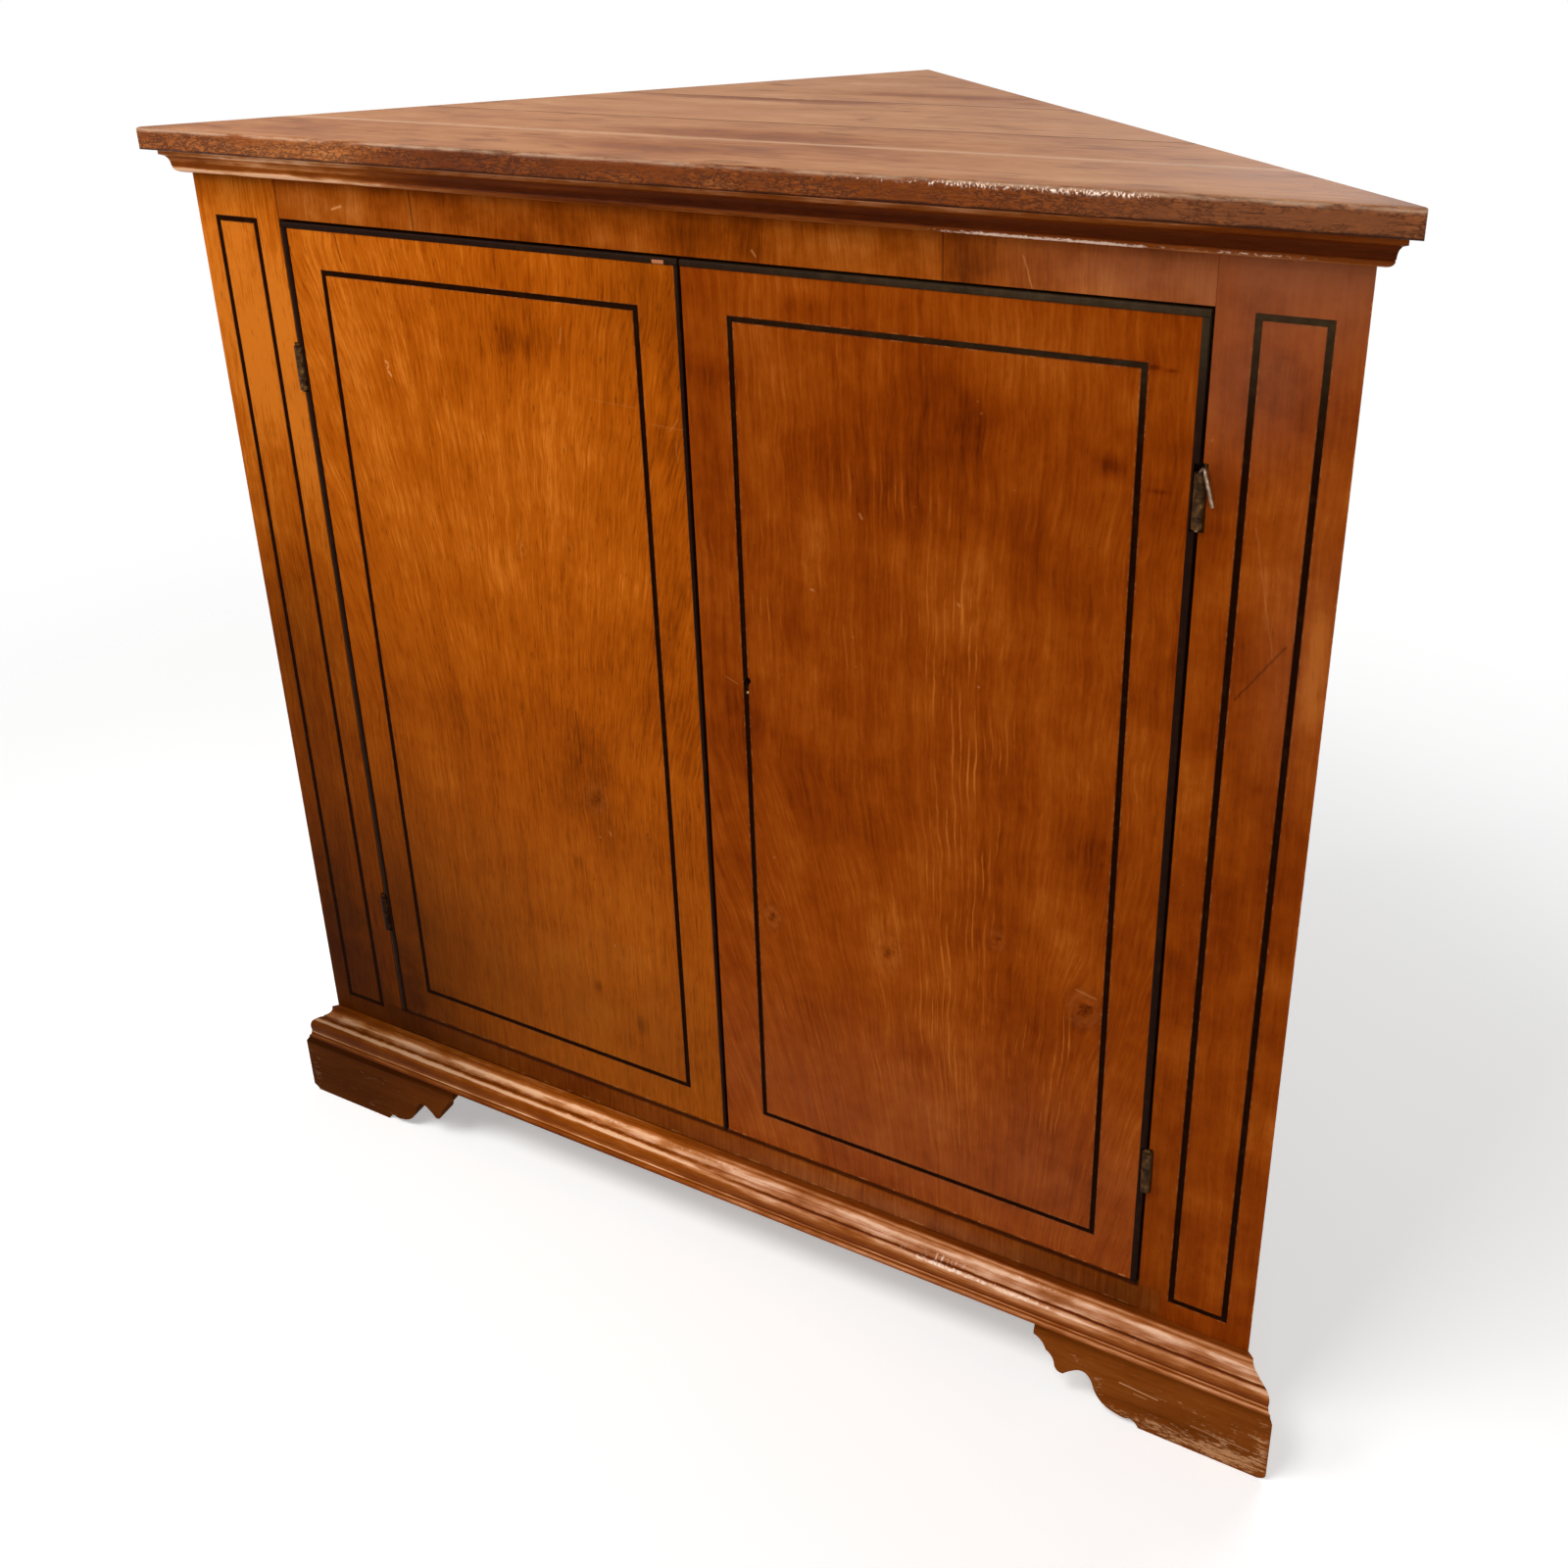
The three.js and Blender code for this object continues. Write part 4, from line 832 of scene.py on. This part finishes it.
# Finishes by the name of a node, and then those that a kind of node shares
finishes = {
    "left_door_panel": veneer("left_door_veneer", LEFT_DOOR),
    "right_door_panel": veneer("right_door_veneer", RIGHT_DOOR),
    "left_stile": veneer("left_stile_veneer", LEFT_STILE),
    "right_stile": veneer("right_stile_veneer", RIGHT_STILE),
    "frieze_rail": veneer("frieze_veneer", FRIEZE),
    "bottom_rail": veneer("bottom_rail_veneer", BOTTOM_RAIL),
    # The cornice's and base's clouds tune their painted highlight bands, and their glints are painted
    # highlights
    "cornice_moulding": moulding(
        "cornice_wood", 101, CORNICE_ROWS, CORNICE_LEFT_ROWS, (-170, -330),
        clouds=((-80, 963.4, 60, 2, -0.2), (-90, 972, 60, 1.6, 0.14), (430, 979, 70, 4, -0.2)),
        glints=((245, 962.8, 60, 2.1, 1.05), (310, 962.6, 28, 1.8, 0.9), (395, 963.4, 55, 1.6, 0.66)),
    ),
    "base_moulding": moulding(
        "base_wood", 113, BASE_ROWS, BASE_LEFT_ROWS, (70, -90),
        shade_spots=((-470, 80, 140, 60, 0.62), (-300, 80, 90, 60, 0.28)),
        clouds=(
            (300, 81.5, 50, 3, 0.2), (100, 86, 50, 2, -0.1), (400, 86, 60, 2.5, -0.16),
            (250, 98, 120, 1.6, -0.16),
        ),
        glints=(
            (215, 86, 40, 1.6, 0.9), (290, 85.6, 50, 1.8, 0.7), (400, 86.2, 50, 1.2, 0.3),
            (290, 91.6, 50, 1.2, 0.55), (200, 88.8, 60, 0.9, 0.5), (0, 91.4, 90, 1.4, 0.5),
            (-120, 87.6, 60, 0.9, 0.55), (-130, 91.6, 60, 1.2, 0.5),
        ),
    ),
    # The feet's darkening spots are painted shade: the dark lower left, and under the base moulding
    "left_bracket_foot": moulding(
        "left_foot_wood", 127, shade_spots=((-450, 30, 200, 90, 0.74), (-400, 67, 300, 5, 0.5)), tones=FOOT_TONES,
        scuffs=(
            (-350, 6, 70, 8, 0.7), (-484, 34, 8, 40, 0.7), (-400, 46, 60, 5, 0.5), (-440, 18, 60, 12, 0.45),
        ),
        specular=0.005,
    ),
    "right_bracket_foot": moulding(
        "right_foot_wood", 139, shade_spots=((400, 68, 300, 4, 0.5), (420, 20, 60, 20, 0.16)), tones=FOOT_TONES,
        scuffs=(
            (460, 14, 44, 18, 1.1), (404, 9, 60, 10, 1.0), (356, 28, 7, 12, 1.0), (338, 50, 8, 8, 0.8),
            (486, 40, 8, 30, 0.7), (440, 46, 60, 9, 0.45),
        ),
        scars=(
            (372, 43, 405, 40, 0.7, 0.8), (384, 37, 396, 36, 0.6, 0.5), (430, 27, 478, 25, 0.7, 0.5),
        ),
        specular=0.005,
    ),
    "top_front_plank": top_wood(
        "top_front_wood", 151, PLANK_SEAMS[:1], 0.0,
        (
            (-300, 20, 160, 30, -0.06), (-20, 15, 90, 22, -0.35), (90, 55, 80, 10, -0.14),
            (250, -5, 160, 12, 0.15),
        ),
        front=True,
    ),
    "top_second_plank": top_wood("top_second_wood", 163, PLANK_SEAMS[:2], 0.06, ((20, 80, 110, 25, -0.4),)),
    "top_third_plank": top_wood("top_third_wood", 171, PLANK_SEAMS[1:], 0.14, ((-40, 250, 120, 8, -0.5),)),
    "top_rear_plank": top_wood("top_rear_wood", 183, PLANK_SEAMS[2:], 0.14, ((60, 300, 90, 14, -0.35),)),
    "frame_leaf": metal("old_brass", 191, (
        (0.0, 18, 10, 3), (0.4, 52, 32, 14), (0.7, 88, 60, 30), (1.0, 156, 120, 72),
    ), 0.5, metallic=0.3, specular=0.08),
    # Darker brass for the left lower hinge: painted shade of the dark lower left
    "shaded_leaf": metal("shaded_brass", 193, (
        (0.0, 10, 4, 1), (0.5, 32, 15, 5), (0.85, 62, 35, 15), (1.0, 132, 88, 50),
    ), 0.6, metallic=0.2, specular=0.04),
    "right_upper_hinge_pin": metal("nail_steel", 197, (
        (0.0, 60, 44, 32), (0.4, 112, 90, 70), (0.7, 150, 128, 106), (1.0, 206, 186, 166),
    ), 0.38),
    "iron": metal("lock_iron", 203, (
        (0.0, 34, 26, 22), (0.5, 72, 62, 54), (0.8, 98, 88, 78), (1.0, 120, 76, 48),
    ), 0.5),
    "string": ebonised("ebony_string", 211, wear=0.12, specular=0.008),
    "bead": ebonised("ebony_bead", 223, wear=0.3, chips=((-15.6, 922.6, 5.4, 1.9),), specular=0.04),
    "up": bare_board("upright_board_wood", 233, "up"),
    "front": bare_board("shelf_wood", 241, "front", 0.2),
    "left": bare_board("left_cleat_wood", 251, "left", 0.25),
    "right": bare_board("right_cleat_wood", 263, "right", 0.25),
}


KIND_FINISHES = (
    ("string", "string"), ("bead", "bead"), (("leaf", "pin", "keeper"), "frame_leaf"),
    (("bolt", "bolt_plate", "lock_case"), "iron"), (("shelf", "bottom_board", "door_stop"), "front"),
)


def finish_of(name):
    """Which finish a node takes: its own, or that of its kind."""
    # The left lower hinge takes the darker brass, painted shade of the dark lower left
    if name.startswith("left_lower") and name.endswith(("leaf", "pin")):
        return finishes["shaded_leaf"]
    if name.endswith("cleat"):
        return finishes[name.split("_")[0]]
    kind = next((finish for endings, finish in KIND_FINISHES if name.endswith(endings)), "up")
    return finishes.get(name, finishes[kind])


# Worn edges on the wooden pieces, and smooth round metal

EDGE_ANGLE = math.radians(32)
WELD_REACH = 0.002
FOOT_CORNER = 6
FOOT_DEPTH = 20
EDGE_WEAR = {
    "top_front": 1.5, "top": 0.5, "panel": 0.7, "foot": 0.8, "stile": 0.6, "rail": 0.5, "moulding": 0.35,
    "board": 0.8,
}
LEAST_WEAR = 0.25


def soften(item, width):
    """Rounds an item's sharp edges a little and shades it smoothly."""
    for polygon in item.data.polygons:
        polygon.use_smooth = True

    def modify(name, kind, **settings):
        set_up(item.modifiers.new(name, kind), **settings)

    modify("weld", "WELD", merge_threshold=WELD_REACH * MM)
    if "bracket_foot" in item.name:
        outer = max(abs(vertex.co.x) for vertex in item.data.vertices)
        corner = item.vertex_groups.new(name="corner")
        low_outside = [vertex.index for vertex in item.data.vertices
                       if abs(vertex.co.x) > outer - (FOOT_DEPTH + 1) * MM and vertex.co.z < MM]
        corner.add(low_outside, 1, "REPLACE")
        modify("corner", "BEVEL", width=FOOT_CORNER * MM, segments=5, limit_method="VGROUP",
               vertex_group=corner.name)
    modify("edges", "BEVEL", width=width * MM, segments=2, limit_method="ANGLE", angle_limit=EDGE_ANGLE,
           use_clamp_overlap=True)
    modify("normals", "WEIGHTED_NORMAL", keep_sharp=True)


for name, item in nodes.items():
    item.data.materials.clear()
    item.data.materials.append(finish_of(name))
    soften(item, next((wear for word, wear in EDGE_WEAR.items() if word in name), LEAST_WEAR))


# Small fittings


def add_object(name, data):
    item = bpy.data.objects.new(name, data)
    scene.collection.objects.link(item)
    return item


def part(name, body, finish, build):
    """A named piece built by a function that fills a mesh, in place, riding on a body."""
    mesh = bpy.data.meshes.new(name)
    content = bmesh.new()
    build(content)
    bmesh.ops.recalc_face_normals(content, faces=content.faces)
    content.to_mesh(mesh)
    content.free()
    mesh.materials.append(finish)
    piece = add_object(name, mesh)
    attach(piece, body)


SCREW_SIDES = 14
SCREW_SLOT = 0.34
TURNS = [2 * math.pi * index / SCREW_SIDES for index in range(SCREW_SIDES)]
CIRCLE = [(math.cos(turn), math.sin(turn)) for turn in TURNS]


def add_loft(content, rings):
    """A closed solid through rings of points, each ring with as many points."""
    rows = [[content.verts.new(point) for point in ring] for ring in rings]
    count = len(rows[0])
    for lower, upper in zip(rows, rows[1:]):
        for index in range(count):
            after = (index + 1) % count
            content.faces.new((lower[index], lower[after], upper[after], upper[index]))
    content.faces.new(list(reversed(rows[0])))
    content.faces.new(rows[-1])


def add_screw(content, centre, normal, radius, turn):
    """A slotted screw head: two domed halves with the slot between them, on a disc at the slot's floor."""
    basis = Vector(normal).to_track_quat("Z", "Y").to_matrix() @ Matrix.Rotation(turn, 3, "Z")

    def at(x, y, height):
        return frame_point(*centre) + basis @ Vector((x, y, height)) * MM

    def disc(reach, height):
        return [at(reach * x, reach * y, height) for x, y in CIRCLE]

    add_loft(content, [disc(radius * 0.98, -0.2), disc(radius * 0.98, 0.08), disc(radius * 0.9, 0.14)])
    for side in (1, -1):
        rings = []
        for reach, height in ((1.0, 0.1), (0.96, 0.26), (0.8, 0.42), (0.5, 0.5)):
            outer = radius * reach
            start = math.asin(min(1, SCREW_SLOT / outer))
            steps = [start + (math.pi - 2 * start) * index / SCREW_SIDES for index in range(SCREW_SIDES + 1)]
            rings.append([at(outer * math.cos(step) * side, outer * math.sin(step) * side, height)
                          for step in steps])
        add_loft(content, rings)


def screws(name, body, finish, normal, radius, centres):
    """One piece for the screws of one fitting, each with its slot at a turn of its own."""
    def build(content):
        for centre in centres:
            add_screw(content, centre, normal, radius, dice.uniform(0, math.pi))
    part(name, body, finish, build)


dice = random.Random(12)
LEAF_SCREWS = ((-13, 8.6), (0, 13.6), (13, 8.6))
LEAF_SCREW, LOCK_SCREW, KEEPER_SCREW, PLATE_SCREW = 2.1, 2.3, 1.9, 1.7
DOOR_EDGE = node_box("right_door_panel")[1].x
for side, hand in ((-1, "left"), (1, "right")):
    for level in ("upper", "lower"):
        leaf_low, leaf_high = node_box(f"{hand}_{level}_frame_leaf")
        middle = (leaf_low.z + leaf_high.z) / 2
        for kind, edge, direction, body in (
            ("frame_leaf", DOOR_REACH, -side, "carcase"), ("door_leaf", DOOR_EDGE, side, f"{hand}_door"),
        ):
            screws(
                f"{hand}_{level}_{kind}_screws", body, finishes["frame_leaf"],
                (direction, 0, 0), LEAF_SCREW,
                [(side * edge, depth, middle + rise) for rise, depth in LEAF_SCREWS],
            )

lock_low, lock_high = node_box("lock_case")
LOCK_INSET = 5.5
BOLT_SIDE_INSET = 7.5
screws("lock_case_screws", "right_door", finishes["iron"], (0, 1, 0), LOCK_SCREW, [
    (x, lock_high.y, z)
    for x in (lock_low.x + BOLT_SIDE_INSET, lock_high.x - LOCK_INSET)
    for z in (lock_low.z + LOCK_INSET, lock_high.z - LOCK_INSET)
])
keeper_low, keeper_high = node_box("lock_keeper")
KEEPER_INSET = 4
screws("lock_keeper_screws", "left_door", finishes["frame_leaf"], (1, 0, 0), KEEPER_SCREW, [
    (keeper_high.x, (keeper_low.y + keeper_high.y) / 2, z)
    for z in (keeper_low.z + KEEPER_INSET, keeper_high.z - KEEPER_INSET)
])
PLATE_FACE = 2
PLATE_SIDE_INSET = 2.6
PLATE_END_INSET = 24
for level in ("top", "bottom"):
    plate_low, plate_high = node_box(f"{level}_bolt_plate")
    screws(f"{level}_bolt_plate_screws", "left_door", finishes["iron"], (0, 1, 0), PLATE_SCREW, [
        (x, plate_low.y + PLATE_FACE, z)
        for x in (plate_low.x + PLATE_SIDE_INSET, plate_high.x - PLATE_SIDE_INSET)
        for z in (plate_low.z + PLATE_END_INSET, plate_high.z - PLATE_END_INSET)
    ])

PIN_PLACE = (42.2, 0, 586.7)
PIN_DOME = ((1.25, 0.0), (1.25, 0.3), (1.0, 0.6), (0.55, 0.8), (0.2, 0.86))


def build_pin(content):
    """Small brass pin under the keyhole, with a domed head."""
    centre = frame_point(*PIN_PLACE)
    add_loft(content, [[centre + Vector((reach * x, -out, reach * z)) * MM for x, z in CIRCLE]
                       for reach, out in PIN_DOME])


part("keyhole_pin", "right_door", metal("bright_pin_brass", 307, (
    (0.0, 96, 68, 38), (0.5, 150, 114, 74), (1.0, 206, 174, 130),
), 0.35), build_pin)


NAIL_REACH = 3.1
NAIL_LEVELS = (107, 369, 629, 965)
NAIL_STEPS = (52, 148, 262, 380, 476, 590)
POST_NAIL_STEP = 628
POST_NAIL_LEVELS = (230, 500, 790)


def add_nail(content, side, onward, height):
    """Rose-headed nail on a wall side: a low, uneven pyramid. Onward is along the wall from its front end."""
    out = Vector((side * WALL, WALL, 0))
    along = Vector((-side * WALL, WALL, 0))
    up = Vector((0, 0, 1))
    centre = frame_point(side * (CASE_EDGE - onward * WALL), onward * WALL, height)
    turn = dice.uniform(0, math.pi / 2)
    corners = [(NAIL_REACH * dice.uniform(0.85, 1.1), turn + math.pi / 2 * index) for index in range(4)]

    def ring(scale, lift):
        return [centre + (along * math.cos(a) * r * scale + up * math.sin(a) * r * scale + out * lift) * MM
                for r, a in corners]
    add_loft(content, [ring(1.0, -0.3), ring(1.0, 0.25), ring(0.6, 0.7), ring(0.15, 0.95)])


for side, hand in ((-1, "left"), (1, "right")):
    def build_nails(content, side=side):
        for level in NAIL_LEVELS:
            for onward in NAIL_STEPS:
                add_nail(content, side, onward + dice.uniform(-5, 5), level + dice.uniform(-4, 4))
        for level in POST_NAIL_LEVELS:
            add_nail(content, side, POST_NAIL_STEP + dice.uniform(-3, 3), level + dice.uniform(-15, 15))
    part(f"{hand}_wall_nails", "carcase", finishes["iron"], build_nails)


# Camera, at the photograph's place. The lens and the axis are in pixels of a 1600 pixel square

PICTURE = 1600
LENS = 1576.1
AXIS_FROM_TOP = 515
CAMERA_PLACE = (566, -915.8, 1180.6)
CAMERA_FORWARD = Vector((-0.43359, 0.81581, -0.38269))
CAMERA_ROLL = math.radians(-1.88)
SENSOR = 36


def stand(item, place, direction, roll=0.0):
    """Puts an item at a place, looking in a direction."""
    item.location = frame_point(*place)
    item.rotation_mode = "QUATERNION"
    item.rotation_quaternion = direction.to_track_quat("-Z", "Y") @ Quaternion((0, 0, 1), roll)


camera = add_object("camera", set_up(
    bpy.data.cameras.new("camera"), sensor_width=SENSOR, lens=LENS / PICTURE * SENSOR,
    shift_y=(AXIS_FROM_TOP - PICTURE / 2) / PICTURE, clip_end=60,
))
stand(camera, CAMERA_PLACE, CAMERA_FORWARD, CAMERA_ROLL)
scene.camera = camera


# Light and floor


def lamp(name, place, aim, size, power, tint=(1, 1, 1)):
    """A square soft light at a place, aimed at another. Its size is in metres."""
    light = set_up(bpy.data.lights.new(name, "AREA"), shape="SQUARE", size=size, energy=power, color=tint)
    stand(add_object(name, light), place, frame_point(*aim) - frame_point(*place))


lamp("ceiling", (-250, -1000, 2300), (0, 0, 500), 0.7, 19)
lamp("key", (-1150, -1000, 1750), (-300, 0, 700), 0.8, 15.5, (1.0, 0.98, 0.95))
lamp("fill", (1500, -2100, 650), (200, 0, 350), 1.6, 19)
lamp("rear", (600, 2600, 1900), (0, 200, 500), 2.0, 30)

WHITE = (1, 1, 1, 1)
AMBIENT = 0.2
world = bpy.data.worlds.new("studio")
scene.world = world
world.use_nodes = True
sky = Tree(world.node_tree)
path = sky.node("ShaderNodeLightPath")
mirrored = sky.math("MAXIMUM", path.outputs["Is Glossy Ray"], path.outputs["Is Transmission Ray"])
seen = sky.math("MAXIMUM", path.outputs["Is Camera Ray"], mirrored)
ambient = sky.wired("ShaderNodeBackground", WHITE, AMBIENT)
backdrop = sky.wired("ShaderNodeBackground", WHITE, 1)
sky.node("ShaderNodeOutputWorld", {"Surface": sky.wired("ShaderNodeMixShader", seen, ambient, backdrop)})

FLOOR_REACH = 4.0
FLOOR_LIFT = 0.32
FLOOR_TONES = ((0.0, 246, 246, 246), (1.0, 251, 251, 251))
FLOOR_FADE = (750, 2100)


def floor_finish():
    """Pale floor that the camera sees a little brighter, fading out into the white background."""
    paint = Paint("pale_floor", 401)
    from_middle = paint.math("SQRT", paint.x * paint.x + paint.y * paint.y)
    dusting = paint.noise((300, 300, 300), 0, 3)
    shader = paint.node("ShaderNodeBsdfPrincipled", {
        "Base Color": paint.tones(dusting * 0.5 + 0.5, FLOOR_TONES), "Roughness": dusting * 0.05 + 0.8,
        "Specular IOR Level": 0.1,
    })
    in_view = Field(paint, paint.node("ShaderNodeLightPath").outputs["Is Camera Ray"])
    lift = paint.wired("ShaderNodeEmission", WHITE, in_view * FLOOR_LIFT)
    lifted = paint.wired("ShaderNodeAddShader", shader.outputs[0], lift)
    clear = paint.wired("ShaderNodeBsdfTransparent")
    fade = from_middle.step(*FLOOR_FADE)
    return paint.ends_in(paint.wired("ShaderNodeMixShader", fade, lifted, clear))


floor_mesh = bpy.data.meshes.new("floor")
floor_content = bmesh.new()
bmesh.ops.create_circle(floor_content, cap_ends=True, radius=FLOOR_REACH, segments=96)
floor_content.to_mesh(floor_mesh)
floor_content.free()
floor_mesh.materials.append(floor_finish())
add_object("floor", floor_mesh)

scene.view_settings.view_transform = "Standard"
